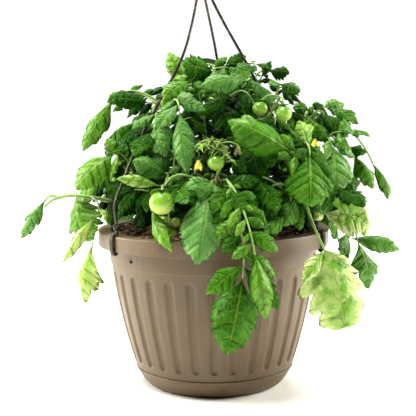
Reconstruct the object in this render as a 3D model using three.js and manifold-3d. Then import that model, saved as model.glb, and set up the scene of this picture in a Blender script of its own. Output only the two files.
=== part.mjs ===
// A tomato plant in a fluted plastic hanging basket that stands on its clip-on saucer.
// Millimetres, +Z up, the front is -Y. The origin is the middle of the saucer's underside.
import * as THREE from 'three';
import { mergeVertices } from 'three/addons/utils/BufferGeometryUtils.js';
import Module from 'manifold-3d';

const wasm = await Module();
wasm.setup();

// ---------------------------------------------------------------- driving dimensions
const RIM_R = 127; // a ten inch basket, over its rim
const RIM_TOP = 172;
const RIM_PLATE = 1.8; // thickness of the rim's flat top
const SKIRT = { low: 155.5, wall: 1.6 };
const FLUTES = 30;
const FLUTE = { low: 29, high: 129, depth: 2.2, end: 6 };
const LEDGE_Z = 20.9; // the basket steps out over the saucer here
const FLOOR = { low: 2.7, top: 4.9 };
const WALL = 4; // land of a flute to the inside of the wall
const BELLY = { foot: 87.6, spread: 37.6, bend: 12 }; // how the wall's radius grows up to the band
const BAND = { z: 137, step: 0.9, top: 115.6 }; // plain band under the rim, and its radius at the rim
const MOUTH = { low: 111.4, high: 113 }; // the inside, at the soil and at the rim
const INSIDE = { floor: 73.2, middle: 78 }; // its radius at the floor, and its middle ring's height
const SEAT_GAP = 0.3;
const CAVITY_SIDES = 40;
const RIM_SIDES = 60;
const SLIVER = 0.08; // slivers that a join or a cut leaves are merged below this size
const SCRAP = 1; // a loose body below this volume is dropped

const SAUCER = { foot: 73, corner: 2, rim: 88, high: 20.5, wall: 1.5, floor: 2.4, waist: { r: 83.2, z: 12 } };
const FOOT_R = { low: 74, high: 85.1 }; // the part of the basket that sits in the saucer
const DRAIN = { count: 4, r: 5, out: 45 };
const WIRE_HOLE = { r: 1, z: 146, turn: 7 };

const SOIL = { middle: 176, edge: 168, relief: 1.6, rings: [74] };
const STEM_DEPTH = 12; // how far each stem stands in the soil

const WIRE = { r: 1.3, turns: [-55, 62.5, 175], spread: 2.6 }; // degrees round from the front
const CLIP = { high: 162, bulge: 1.2, over: 4.5 }; // the bend of a wire under the skirt and over the rim
const HOOK = { r: 1.6, bend: 15, x: -11, low: 440, ferrule: 12, ferruleR: 4.2, middle: 482, end: 150 };

// Places of the plant are given as they look from the front: across, height, depth.
const EYE = { away: 1000, height: 297 };

// What the blades turn to. The light from the front reaches this far back.
const LIGHT = { out: 0.006, front: 0.7, up: 0.7, reach: 20 };
const BLADE_THICK = 1.1;
const CALYX_THICK = 1.4;
const FRUIT = { sides: 9, rows: 6, flat: 0.94 };
const FLOWER = { reach: 8, thick: 0.9, cone: 7 };
const RIB = { end: 0.93, foot: 1.4, tip: 0.9 }; // share of the rib at its last section, and its half width
const WIDE_LEAF = 30; // an end leaflet wider than this has the large outline
const SLIM_LEAF = 16; // and one up to this has the small one
const CLEAR = 0.4; // least gap between two nodes
const TRIES = 28; // ways a leaf may be bent before it is left out

const COLOURS = {
  basket: [0x8c7a62, 0.45],
  soil: [0x3a2a1c, 1.0],
  wire: [0x2b221d, 0.4],
  leaf: [0x3f7f2c, 0.6],
  fruit: [0x9cc75a, 0.3],
  petal: [0xf2cf2b, 0.6],
};

// ---------------------------------------------------------------- small helpers
const RAD = Math.PI / 180;
const UP = new THREE.Vector3(0, 0, 1);
const mix = (a, b, t) => a + (b - a) * t;

/** A repeatable number from 0 to 1 for the key k. */
function chance(k) {
  const s = Math.sin(k * 12.9898 + 4.1414) * 43758.5453;
  return s - Math.floor(s);
}

/** The point that looks to be at (across, height) from the front, at the stated depth. */
function seen([across, height, depth]) {
  const scale = (EYE.away + depth) / EYE.away;
  return new THREE.Vector3(across * scale, depth, EYE.height + (height - EYE.height) * scale);
}

/** The point at an azimuth from the front, in degrees, at a radius and height. */
function around(turn, r, z) {
  return new THREE.Vector3(Math.sin(turn * RAD) * r, -Math.cos(turn * RAD) * r, z);
}

/** A closed three.js geometry as a solid, with its faces pointing out. */
function solid(geometry) {
  const bare = new THREE.BufferGeometry();
  const open = geometry.index ? geometry.toNonIndexed() : geometry;
  bare.setAttribute('position', open.getAttribute('position'));
  const merged = mergeVertices(bare, 1e-4);
  const index = [];
  for (let i = 0; i < merged.index.count; i += 3) {
    const [a, b, c] = [0, 1, 2].map((j) => merged.index.getX(i + j));
    if (a !== b && b !== c && a !== c) index.push(a, b, c);
  }
  const build = (triVerts) => new wasm.Manifold(new wasm.Mesh({
    numProp: 3, vertProperties: merged.attributes.position.array, triVerts: new Uint32Array(triVerts),
  }));
  const made = build(index);
  return made.volume() < 0 ? build(index.reverse()) : made;
}

/** A solid as a named mesh in the stated colour. */
function mesh(name, body, colour) {
  const { vertProperties, triVerts } = body.getMesh();
  const geometry = new THREE.BufferGeometry();
  geometry.setAttribute('position', new THREE.BufferAttribute(vertProperties, 3));
  geometry.setIndex(new THREE.BufferAttribute(triVerts, 1));
  geometry.computeVertexNormals();
  const [color, roughness] = COLOURS[colour];
  const made = new THREE.Mesh(geometry, new THREE.MeshStandardMaterial({ color, roughness, metalness: 0 }));
  made.name = name;
  return made;
}

/** A profile of [radius, height] pairs turned about +Z. */
function turned(profile, sides) {
  const points = profile.map(([r, z]) => new THREE.Vector2(r, z));
  return new THREE.LatheGeometry(points, sides).rotateX(Math.PI / 2);
}

/** A closed tube through points, with a radius at each, its section a polygon. */
function tube(points, radii, sides) {
  const across = new THREE.Vector3();
  const positions = [];
  points.forEach((p, i) => {
    const ahead = points[Math.min(i + 1, points.length - 1)].clone();
    ahead.sub(points[Math.max(i - 1, 0)]).normalize();
    if (i === 0) across.crossVectors(ahead, Math.abs(ahead.z) < 0.9 ? UP : new THREE.Vector3(1, 0, 0));
    across.addScaledVector(ahead, -across.dot(ahead)).normalize();
    const side = new THREE.Vector3().crossVectors(ahead, across);
    for (let k = 0; k < sides; k++) {
      const a = (k / sides) * 2 * Math.PI;
      const q = p.clone().addScaledVector(across, radii[i] * Math.cos(a));
      positions.push(...q.addScaledVector(side, radii[i] * Math.sin(a)).toArray());
    }
  });
  const last = points.length - 1;
  positions.push(...points[0].toArray(), ...points[last].toArray());
  const [head, tail] = [points.length * sides, points.length * sides + 1];
  const index = [];
  for (let k = 0; k < sides; k++) {
    const n = (k + 1) % sides;
    for (let i = 0; i < last; i++) {
      const [a, b, c, d] = [i * sides + k, i * sides + n, (i + 1) * sides + n, (i + 1) * sides + k];
      index.push(a, b, c, a, c, d);
    }
    index.push(head, n, k, tail, last * sides + k, last * sides + n);
  }
  const made = new THREE.BufferGeometry();
  made.setAttribute('position', new THREE.Float32BufferAttribute(positions, 3));
  return made.setIndex(index);
}

/** Radii that run evenly from one value to another. */
const taper = (from, to, count) => Array.from({ length: count }, (_, i) => mix(from, to, i / (count - 1)));

/** The point at a share of the way along a line, each of whose spans counts alike. */
function alongLine(points, share) {
  const place = Math.min(Math.max(share, 0), 0.999) * (points.length - 1);
  const i = Math.floor(place);
  return points[i].clone().lerp(points[i + 1], place - i);
}

/** All of the solids as one, without the hollows that a join seals and the scraps that it leaves. */
function fuse(solids) {
  const joined = wasm.Manifold.union(solids).simplify(SLIVER);
  return wasm.Manifold.union(joined.decompose().filter((body) => body.volume() > SCRAP));
}

// ---------------------------------------------------------------- basket, saucer, soil
/** Outer radius of the basket's wall at a height: a gentle belly. */
function wallRadius(z) {
  const t = (z - LEDGE_Z) / (BAND.z - LEDGE_Z);
  return BELLY.foot + BELLY.spread * t - BELLY.bend * t * t + (z > BAND.z ? BAND.step : 0);
}

/** The basket's outside from the saucer to the plain band: a turned body pressed in along each flute. */
function flutedBody() {
  const { low, high, end } = FLUTE;
  const heights = [LEDGE_Z, low, low + end, high - end, high, BAND.z];
  const profile = heights.map((z) => [wallRadius(z), z]);
  const body = turned([[0, LEDGE_Z], ...profile, [0, BAND.z]], FLUTES * 4);
  const place = body.getAttribute('position');
  for (let i = 0; i < place.count; i++) {
    const [x, y, z] = [place.getX(i), place.getY(i), place.getZ(i)];
    const step = Math.round((Math.atan2(x, -y) / (2 * Math.PI)) * FLUTES * 4);
    if (step % 4 !== 0 || z < low + 1 || z > high - 1) continue;
    const pressed = 1 - FLUTE.depth / Math.hypot(x, y);
    place.setXY(i, x * pressed, y * pressed);
  }
  return solid(body);
}

/** The plain band and the rim with its skirt. */
function bandAndRim() {
  const plate = RIM_TOP - RIM_PLATE;
  const inner = RIM_R - SKIRT.wall;
  return solid(turned([
    [0, BAND.z - 1], [wallRadius(BAND.z) + BAND.step, BAND.z - 1], [BAND.top, plate], [inner, plate],
    [inner, SKIRT.low], [RIM_R, SKIRT.low], [RIM_R, RIM_TOP - 1], [RIM_R - 1, RIM_TOP], [0, RIM_TOP],
  ], RIM_SIDES));
}

/** The basket: fluted body, band and rim, hollowed, with drain holes and one small hole by each wire. */
function basket() {
  const mouth = [[MOUTH.high, RIM_TOP + 2], [0, RIM_TOP + 2]];
  const inside = turned([[0, FLOOR.top], ...cavity(0), ...mouth], CAVITY_SIDES);
  const bores = [];
  for (let k = 0; k < DRAIN.count; k++) {
    const bore = new THREE.CylinderGeometry(DRAIN.r, DRAIN.r, 8, 8).rotateX(Math.PI / 2);
    bores.push(solid(bore.translate(...around((k + 0.5) * 90, DRAIN.out, FLOOR.top - 1).toArray())));
  }
  for (const turn of WIRE.turns) {
    const bore = new THREE.CylinderGeometry(WIRE_HOLE.r, WIRE_HOLE.r, 12, 6);
    const at = turn + WIRE_HOLE.turn;
    bore.rotateZ(at * RAD).translate(...around(at, wallRadius(WIRE_HOLE.z) - 2, WIRE_HOLE.z).toArray());
    bores.push(solid(bore));
  }
  const top = LEDGE_Z + 1;
  const foot = turned([[0, FLOOR.low], [FOOT_R.low, FLOOR.low], [FOOT_R.high, top], [0, top]], CAVITY_SIDES);
  const outside = flutedBody().add(bandAndRim()).add(solid(foot));
  return outside.subtract(solid(inside)).subtract(fuse(bores)).simplify(SLIVER);
}

/** The inside of the wall from the floor to the rim, drawn in by a gap. */
function cavity(gap) {
  const heights = [LEDGE_Z, INSIDE.middle, BAND.z];
  return [[INSIDE.floor - gap, FLOOR.top + gap], ...heights.map((z) => [wallRadius(z) - WALL - gap, z]),
    [MOUTH.low - gap, SOIL.edge - 4], [MOUTH.high - gap, RIM_TOP]];
}

function saucer() {
  const { foot, corner, rim, high, wall, floor, waist } = SAUCER;
  return solid(turned([
    [0, 0], [foot, 0], [foot + corner * 1.4, corner * 0.5], [foot + corner * 2.2, corner * 1.6],
    [waist.r, waist.z], [rim, high], [rim - wall, high], [waist.r - wall, waist.z], [foot + 3, floor + 1],
    [foot + 1.8, floor], [0, floor],
  ], CAVITY_SIDES));
}

/** Height of the soil at a radius and azimuth: a low mound with crumbs on it. */
function soilHeight(r, turn) {
  const mound = mix(SOIL.middle, SOIL.edge, (r / MOUTH.low) ** 2);
  const wide = Math.sin(r * 0.31 + turn * 3) * Math.cos(r * 0.17 - turn * 5);
  const crumbs = wide + 0.6 * Math.sin(turn * 11 + r);
  return mound + SOIL.relief * crumbs * Math.min(1, (MOUTH.low - r) / 20 + 0.2);
}

/** The soil, with a plain hole for each stem. */
function soil(stems) {
  const bulk = turned([
    [0, FLOOR.top + SEAT_GAP], ...cavity(SEAT_GAP).slice(0, 5), [MOUTH.low - SEAT_GAP, SOIL.edge],
    ...SOIL.rings.map((r) => [r, SOIL.edge]), [0, SOIL.edge],
  ], CAVITY_SIDES);
  const place = bulk.getAttribute('position');
  for (let i = 0; i < place.count; i++) {
    if (place.getZ(i) < SOIL.edge) continue;
    const [x, y] = [place.getX(i), place.getY(i)];
    const r = Math.hypot(x, y);
    place.setZ(i, soilHeight(r, r < 1 ? 0 : Math.atan2(x, -y)));
  }
  const holes = stems.map(({ root, r }) => {
    const bore = new THREE.CylinderGeometry(r + 1, r + 1, 60, 6).rotateX(Math.PI / 2);
    return solid(bore.translate(root.x, root.y, root.z - 0.6 + 30));
  });
  return solid(bulk).subtract(fuse(holes)).simplify(SLIVER);
}

// ---------------------------------------------------------------- hanger
/** The way of each wire as seen in the photograph, from the rim up to the ferrule. */
const WIRE_WAYS = [
  [[-110, 190, -74], [-102, 216, -68], [-80, 268, -52], [-57, 312, -38], [-32, 359, -22], [-19, 405, -10]],
  [[112, 190, -54], [98, 225, -46], [70, 286, -34], [39, 348, -20], [8, 404, -8]],
  [[17, 190, 118], [15, 250, 96], [11, 310, 66], [4, 365, 36], [-5, 410, 14]],
];

/** One wire: it clips under the skirt, passes over the rim and runs up to the ferrule. */
function hangerWire(turn, way) {
  const off = WIRE.r + SEAT_GAP;
  const [out, back] = [RIM_R + off, RIM_R - SKIRT.wall - off];
  const [top, under] = [RIM_TOP + off, SKIRT.low - off];
  const { high, bulge, over } = CLIP;
  const clip = [[back, high], [back, under + bulge], [mix(back, out, 0.5), under - bulge],
    [out, under + bulge], [out, RIM_TOP - 2], [out - bulge, top - 0.3], [out - over, top]];
  const end = around(turn, WIRE.spread, HOOK.low - SEAT_GAP - WIRE.r / 2);
  end.x += HOOK.x;
  const curve = new THREE.CatmullRomCurve3([around(turn, out - over - 2, top + 4), ...way.map(seen), end]);
  const points = [...clip.map(([r, z]) => around(turn, r, z)), ...curve.getSpacedPoints(11)];
  return solid(tube(points, taper(WIRE.r, WIRE.r, points.length), 6));
}

/** The ferrule that gathers the wires, with the hook above it. */
function hook() {
  const points = [new THREE.Vector3(HOOK.x, 0, HOOK.low + HOOK.ferrule - 2)];
  for (let a = -90; a <= HOOK.end; a += 24) {
    const swing = new THREE.Vector3(Math.cos(a * RAD), 0, Math.sin(a * RAD)).multiplyScalar(HOOK.bend);
    points.push(swing.add(new THREE.Vector3(HOOK.x, 0, HOOK.middle)));
  }
  points.push(new THREE.Vector3(HOOK.x - HOOK.bend, 0, HOOK.middle - 2));
  const top = HOOK.low + HOOK.ferrule;
  const ferrule = turned([[0, HOOK.low], [HOOK.ferruleR, HOOK.low], [HOOK.ferruleR, top], [0, top]], 8);
  const bend = solid(tube(points, taper(HOOK.r, HOOK.r, points.length), 6));
  return fuse([bend, solid(ferrule.translate(HOOK.x, 0, 0))]);
}

// ---------------------------------------------------------------- leaves
// Outline of a leaflet: [place of the edge point along the blade, share of half its width].
const OUTLINES = {
  large: [[0.08, 0.34], [0.28, 1], [0.45, 0.62], [0.6, 0.8], [0.8, 0.36]],
  middle: [[0.12, 0.24], [0.34, 1], [0.54, 0.58], [0.74, 0.5]],
  small: [[0.2, 0.6], [0.46, 1], [0.76, 0.42]],
};

/** The way the upper face of a blade looks: up and out to the light, square to the blade. */
function faceOf(base, ahead, roll = 0) {
  const { out, front, up } = LIGHT;
  const face = new THREE.Vector3(base.x * out, base.y * out - (base.y < LIGHT.reach ? front : 0), up);
  face.addScaledVector(ahead, -face.dot(ahead)).normalize();
  return face.applyAxisAngle(ahead, roll * RAD);
}

/** A thin body through four-cornered sections, pointed at both ends. */
function loft(start, sections, end) {
  const points = [...start.toArray(), ...end.toArray()];
  for (const { centre, ahead, face, wide, thick, drop } of sections) {
    const across = new THREE.Vector3().crossVectors(ahead, face).multiplyScalar(wide);
    const edge = centre.clone().addScaledVector(face, -drop);
    points.push(...centre.clone().addScaledVector(face, thick).toArray());
    points.push(...centre.clone().addScaledVector(face, -thick).toArray());
    points.push(...edge.clone().add(across).toArray(), ...edge.clone().sub(across).toArray());
  }
  const made = new THREE.BufferGeometry();
  made.setAttribute('position', new THREE.Float32BufferAttribute(points, 3));
  return solid(made.setIndex(loftFaces(sections.length)));
}

/** Triangles of a loft: vertex 0 starts it, 1 ends it, then each section's top, underside, right and left. */
function loftFaces(count) {
  const index = [];
  const at = (i, k) => (i < 0 ? 0 : i >= count ? 1 : 2 + 4 * i + k);
  for (let i = -1; i < count; i++) {
    for (const [rib, edge, flip] of [[0, 2, false], [0, 3, true], [1, 2, true], [1, 3, false]]) {
      const [a, b, c, d] = [at(i, rib), at(i + 1, rib), at(i + 1, edge), at(i, edge)];
      const faces = i < 0 ? [[a, b, c]] : i === count - 1 ? [[a, b, d]] : [[a, b, c], [a, c, d]];
      for (const [p, q, r] of faces) index.push(...(flip ? [p, r, q] : [p, q, r]));
    }
  }
  return index;
}

/** The sections of a blade with a knife edge, bowed along its midrib and folded across it. */
function bladeSections(base, tip, { wide, roll, bow, fold, outline }) {
  const chord = tip.clone().sub(base);
  const ahead = chord.clone().normalize();
  const face = faceOf(base, ahead, roll);
  return OUTLINES[outline].map(([u, share]) => {
    const centre = base.clone().addScaledVector(chord, u);
    centre.addScaledVector(face, 4 * bow * chord.length() * u * (1 - u));
    const half = (share * wide) / 2;
    const [across, drop] = [half * Math.cos(fold * RAD), half * Math.sin(fold * RAD)];
    return { centre, ahead, face, thick: BLADE_THICK / 2, wide: across, drop };
  });
}

/** The rib of a leaf: it leaves the stem rising, and runs on into the end leaflet. */
function ribCurve(from, end, tip) {
  const reach = end.distanceTo(from);
  const rise = from.clone().lerp(end, 0.25).addScaledVector(UP, 0.28 * reach);
  const ahead = tip.clone().sub(end).normalize();
  const back = end.clone().addScaledVector(ahead, -0.3 * reach).addScaledVector(UP, 0.05 * reach);
  return new THREE.CubicBezierCurve3(from, rise, back, end);
}

/** A compound leaf: its rib with the end leaflet is one loft, and each side leaflet another. */
function leafParts(from, end, tip, { wide, pairs, side, roll = 0, key }) {
  const curve = ribCurve(from, end, tip);
  const outline = wide > WIDE_LEAF ? 'large' : wide > SLIM_LEAF ? 'middle' : 'small';
  const blade = { wide, roll, bow: 0.1 + 0.1 * chance(key), fold: 8 + 22 * chance(key + 0.5), outline };
  const sections = bladeSections(end, tip, blade);
  const steps = pairs ? 3 : 2;
  for (let i = steps; i > 0; i--) {
    const t = (RIB.end * i) / steps;
    const ahead = curve.getTangent(t);
    const turn = new THREE.Quaternion().setFromUnitVectors(sections[0].ahead, ahead);
    const face = sections[0].face.clone().applyQuaternion(turn);
    const r = mix(RIB.foot, RIB.tip, t);
    sections.unshift({ centre: curve.getPoint(t), ahead, face, wide: r, thick: r, drop: 0 });
  }
  const rib = [from, ...sections.slice(0, steps).map(({ centre }) => centre)];
  return [loft(from, sections, tip), ...sideLeaflets(rib, pairs, side, key)];
}

/** Pairs of side leaflets along a rib, shorter towards the stem. */
function sideLeaflets(rib, pairs, side, key) {
  const parts = [];
  for (let k = 0; k < pairs; k++) {
    for (const hand of [-1, 1]) {
      const odd = key + 7 * k + 3 * hand;
      const t = 0.9 - 0.26 * k + 0.06 * hand * (k % 2 ? -1 : 1);
      const base = alongLine(rib, t);
      const along = alongLine(rib, t + 0.1).sub(alongLine(rib, t - 0.1)).normalize();
      const out = new THREE.Vector3().crossVectors(along, faceOf(base, along)).multiplyScalar(hand);
      const open = (52 + 22 * chance(odd)) * RAD;
      const long = side * (1 - 0.14 * k) * (0.82 + 0.3 * chance(odd + 1));
      const reach = along.multiplyScalar(Math.cos(open)).addScaledVector(out, Math.sin(open));
      reach.addScaledVector(UP, -0.15 - 0.4 * chance(odd + 2));
      const tip = base.clone().addScaledVector(reach, long);
      const wide = long * (0.5 + 0.12 * chance(odd + 3));
      const blade = { wide, roll: 0, bow: 0.12, fold: 5 + 24 * chance(odd + 4), outline: 'small' };
      parts.push(loft(base, bladeSections(base, tip, blade), tip));
    }
  }
  return parts;
}

// ---------------------------------------------------------------- the plant's plan
// Each stem: its way as seen from the front, root first, and its radius at the root.
const STEMS = {
  left: { r: 3, way: [[-22, 180, -14], [-36, 198, -22], [-70, 212, -32], [-104, 201, -30], [-132, 205, -26],
    [-156, 208, -22], [-178, 203, -16], [-187, 195, -14]] },
  left_top: { r: 3, way: [[-14, 180, 4], [-30, 215, -4], [-44, 268, -12], [-54, 300, -14], [-54, 316, -12]] },
  top: { r: 3.2, way: [[4, 180, 14], [-2, 220, 12], [-10, 285, 6], [-14, 335, 2], [-12, 348, 0]] },
  right_top: { r: 3, way: [[24, 180, 18], [40, 225, 14], [56, 286, 4], [66, 308, 0], [72, 322, 0]] },
  right: { r: 3, way: [[40, 180, 4], [68, 205, -8], [98, 250, -18], [120, 280, -14], [128, 290, -12]] },
  right_low: { r: 2.8, way: [[46, 180, -16], [84, 192, -24], [118, 205, -28], [140, 196, -30],
    [152, 178, -30]] },
  front_right: { r: 2.8, way: [[22, 180, -34], [56, 196, -58], [90, 216, -76], [101, 198, -94],
    [112, 170, -108], [121, 150, -114]] },
  front: { r: 2.8, way: [[2, 180, -40], [-4, 196, -66], [4, 220, -88], [14, 224, -102]] },
  front_left: { r: 2.8, way: [[-22, 180, -44], [-40, 190, -62], [-54, 206, -78], [-60, 206, -90]] },
};
const BACK_TURNS = { back_right: 100, back: 146, back_middle: -164, back_left: -126 };

// Each leaf: stem, place along it, end of the rib and tip of the end leaflet as seen, then the end
// leaflet's width, the pairs of side leaflets and the length of those.
const LEAVES = [
  ['left', 0.81, [-185, 204, -14], [-214, 160, -10], 17, 0, 0],
  ['left', 0.70, [-151, 206, -36], [-139, 156, -46], 38, 0, 0],
  ['left', 0.59, [-128, 188, -48], [-168, 133, -54], 15, 1, 15],
  ['left', 0.51, [-118, 214, -2], [-110, 171, 2], 20, 0, 0],
  ['left', 0.33, [-110, 252, -36], [-152, 216, -50], 40, 1, 26],
  ['left', 0.40, [-118, 217, -16], [-136, 238, -20], 20, 0, 0],
  ['left', 0.32, [-124, 144, 54], [-133, 80, 56], 25, 0, 0],
  ['left_top', 0.81, [-108, 313, -16], [-143, 257, -22], 24, 0, 0],
  ['left_top', 0.55, [-68, 284, -26], [-95, 265, -32], 22, 0, 0],
  ['left_top', 0.66, [-36, 300, -76], [-28, 231, -98], 27, 2, 36],
  ['left_top', 0.38, [-74, 263, -25], [-112, 257, -30], 24, 1, 24],
  ['left_top', 0.99, [-52, 318, -22], [-38, 300, -42], 20, 0, 0],
  ['top', 0.69, [-30, 326, 2], [-47, 364, 4], 20, 0, 0],
  ['top', 0.86, [0, 342, -16], [-32, 350, -36], 34, 1, 22],
  ['top', 0.99, [6, 346, -8], [26, 338, -26], 26, 0, 0],
  ['top', 0.62, [36, 332, -48], [-12, 326, -66], 26, 0, 0],
  ['top', 0.73, [44, 342, -24], [22, 336, -38], 18, 0, 0],
  ['right_top', 0.50, [54, 336, -8], [64, 353, -10], 12, 0, 0],
  ['right_top', 0.34, [62, 342, 2], [84, 340, -4], 20, 0, 0],
  ['right_top', 0.99, [74, 328, -8], [96, 320, -16], 22, 1, 20],
  ['right_top', 0.46, [32, 311, -60], [0, 290, -78], 17, 1, 24],
  ['right_top', 0.34, [92, 260, -86], [26, 295, -102], 44, 0, 0],
  ['right_top', 0.41, [104, 256, -58], [94, 287, -66], 24, 0, 0],
  ['right', 0.38, [90, 261, -94], [84, 206, -120], 54, 0, 0],
  ['right', 0.45, [112, 234, -70], [118, 192, -86], 20, 0, 0],
  ['right', 0.58, [130, 262, -46], [134, 208, -62], 40, 0, 0],
  ['right', 0.45, [122, 295, -24], [148, 270, -24], 24, 2, 26],
  ['right', 0.74, [146, 257, -14], [169, 253, -18], 16, 0, 0],
  ['right', 0.99, [154, 250, -6], [176, 213, -12], 25, 0, 0],
  ['right', 0.91, [176, 240, 8], [193, 200, 6], 10, 0, 0],
  ['front_right', 0.37, [128, 196, -74], [170, 199, -64], 28, 0, 0],
  ['right_low', 0.60, [124, 186, -52], [172, 172, -48], 32, 1, 20],
  ['right_low', 0.85, [152, 158, -20], [206, 144, -16], 20, 1, 24],
  ['right_low', 0.99, [160, 154, -34], [171, 101, -44], 26, 0, 0],
  ['front_right', 0.99, [123, 144, -116], [146, 56, -120], 52, 1, 34],
  ['front_right', 0.30, [92, 204, -88], [76, 172, -112], 26, 0, 0],
  ['front_right', 0.36, [82, 184, -104], [56, 166, -122], 22, 0, 0],
  ['front_right', 0.36, [64, 214, -86], [52, 182, -106], 26, 0, 0],
  ['front', 0.74, [-4, 214, -112], [-18, 131, -150], 46, 0, 0],
  ['front', 0.86, [2, 206, -110], [-20, 214, -126], 22, 0, 0],
  ['front', 0.99, [32, 114, -152], [14, 28, -152], 50, 3, 36],
  ['front', 0.90, [46, 140, -154], [57, 68, -156], 24, 2, 26],
  ['front', 0.23, [-1, 226, -96], [-6, 204, -120], 15, 0, 0],
  ['front', 0.57, [20, 246, -88], [36, 232, -100], 18, 0, 0],
  ['front_left', 0.65, [-68, 190, -98], [-46, 144, -136], 17, 0, 0],
  ['front_left', 0.38, [-82, 196, -60], [-76, 170, -72], 22, 0, 0],
  ['front_left', 0.56, [-58, 218, -86], [-106, 226, -92], 13, 0, 0],
  ['front_left', 0.82, [-52, 232, -80], [-88, 246, -88], 26, 1, 20],
  ['top', 0.55, [-30, 322, -30], [-60, 300, -44], 26, 1, 22],
  ['left_top', 0.50, [-62, 292, -50], [-52, 250, -72], 28, 1, 24],
  ['top', 0.50, [-6, 318, -46], [10, 286, -70], 30, 0, 0],
  ['right_top', 0.30, [20, 276, -62], [30, 234, -92], 30, 1, 24],
  ['right_top', 0.40, [68, 284, -52], [58, 236, -86], 32, 0, 0],
  ['front_right', 0.32, [42, 234, -88], [60, 200, -118], 28, 0, 0],
  ['left_top', 0.28, [-40, 256, -56], [-64, 226, -84], 28, 1, 22],
  ['front', 0.50, [-24, 228, -90], [-42, 200, -112], 25, 0, 0],
  ['right', 0.60, [102, 292, -30], [126, 266, -44], 26, 1, 22],
  ['left_top', 0.81, [-70, 309, -16], [-113, 314, -18], 20, 0, 0],
  ['right_low', 0.75, [164, 200, -40], [167, 160, -46], 24, 0, 0],
];
// A back stem's leaves: end radius and height, tip radius and height, and turn from the stem.
// Below them, the stem's own way from its root: radius and height.
const BACK_LEAVES = [
  [112, 200, 158, 146, -14], [106, 232, 160, 186, 16], [98, 262, 150, 226, -15],
  [80, 288, 128, 262, 14], [66, 322, 30, 342, -8],
];
const BACK_WAY = [[30, 180], [48, 205], [72, 248], [88, 282], [84, 300]];

// Each truss: stem, place along it, end of its stalk, and its fruits [centre as seen, radius].
const TRUSSES = [
  ['front_left', 0.93, [-54, 216, -94], [[[-57, 199, -116], 12.5], [[-56, 178, -97], 6.5],
    [[-42, 177, -97], 6], [[-48, 165, -104], 6]]],
  ['front', 0.66, [16, 260, -84], [[[3.5, 243, -100], 8.5]]],
  ['right_top', 0.37, [74, 314, -60], [[[78, 296, -68], 8.5], [[52, 302, -58], 8]]],
  ['back', 0.8, [10, 262, 120], [[[14, 244, 128], 12], [[-4, 240, 124], 10]]],
  ['back_right', 0.7, [100, 240, 60], [[[108, 226, 62], 11]]],
];
// Each flower: the stem and place along it that its stalk leaves, the stalk's knee and the centre.
const FLOWERS = [
  ['front_left', 0.47, [-38, 256, -80], [-16, 245, -90]],
  ['right', 0.63, [110, 286, -28], [112, 268, -42]],
  ['back_left', 0.8, [-78, 290, 64], [-70, 272, 72]],
];

// ---------------------------------------------------------------- the plant
/** A stem's radius, its root in the soil and the line of its middle. */
function stemOf({ r, way }) {
  const root = way[0].clone().setZ(SOIL.edge - STEM_DEPTH);
  return { r, root, line: way };
}

function stemSolid({ r, root, line }) {
  return solid(tube([root, ...line], [r, ...taper(r, r * 0.45, line.length)], 4));
}

const stems = {};
for (const [name, { r, way }] of Object.entries(STEMS)) stems[name] = stemOf({ r, way: way.map(seen) });
for (const [name, turn] of Object.entries(BACK_TURNS)) {
  stems[name] = stemOf({ r: 2.8, way: BACK_WAY.map(([r, z]) => around(turn, r, z)) });
}

const group = new THREE.Group();
const placed = []; // every solid that a leaf of another node stays clear of: { node, body }
const plant = Object.fromEntries(Object.keys(stems).map((name) => [name, []]));

/** Keeps a finished piece as a mesh of the group. */
function keep(name, body, colour) {
  group.add(mesh(name, body, colour));
  placed.push({ node: name, body });
}

/** Adds a part to a leafy stem's node. */
function grow(node, body) {
  plant[node].push(body);
  placed.push({ node, body });
}

/** Whether a part keeps clear of every other node. */
function isClear(node, body) {
  return placed.every((other) => other.node === node || body.minGap(other.body, CLEAR * 2) >= CLEAR);
}

/** A leaf is swung and lifted about its foot, a little more at each try, until it is clear of other nodes. */
function addLeaf(node, at, end, tip, options) {
  const foot = alongLine(stems[node].line, at);
  for (let i = 0; i < TRIES; i++) {
    const turn = 6 * Math.ceil(i / 2) * (i % 2 ? 1 : -1) * RAD * 0.6;
    const lift = new THREE.Vector3(0, 0, 5 * (((i * 3) % 5) - (i ? 2 : 0)));
    const bend = (p) => p.clone().sub(foot).applyAxisAngle(UP, turn).add(foot).add(lift);
    const parts = leafParts(foot, bend(end), bend(tip), options);
    if (!parts.every((part) => isClear(node, part))) continue;
    parts.forEach((part) => grow(node, part));
    return true;
  }
  return false;
}

/** A green stalk from a stem to a place, as part of the stem. */
function addStalk(node, at, way, r) {
  const curve = new THREE.CatmullRomCurve3([alongLine(stems[node].line, at), ...way]);
  grow(node, solid(tube(curve.getSpacedPoints(3), taper(r, r * 0.7, 4), 3)));
}

/** A star of leaves or petals: a thin body with a knife edge, its tips raised above its middle. */
function star(centre, { reach, notch, thick, lift, start = 0 }) {
  const points = [...centre.clone().addScaledVector(UP, thick / 2).toArray()];
  points.push(...centre.clone().addScaledVector(UP, -thick / 2).toArray());
  const index = [];
  for (let k = 0; k < 10; k++) {
    const [r, z] = k % 2 ? [notch, 0] : [reach, lift];
    points.push(...around(k * 36 + start, r, z).add(centre).toArray());
    const [a, b] = [2 + k, 2 + ((k + 1) % 10)];
    index.push(0, a, b, 1, b, a);
  }
  const made = new THREE.BufferGeometry();
  made.setAttribute('position', new THREE.Float32BufferAttribute(points, 3));
  return solid(made.setIndex(index));
}

/** The green star on top of a fruit or behind a flower, part of the stem's node. */
function addCalyx(node, centre, reach) {
  grow(node, star(centre, { reach, notch: reach * 0.3, thick: CALYX_THICK, lift: reach * 0.15 }));
}

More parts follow.
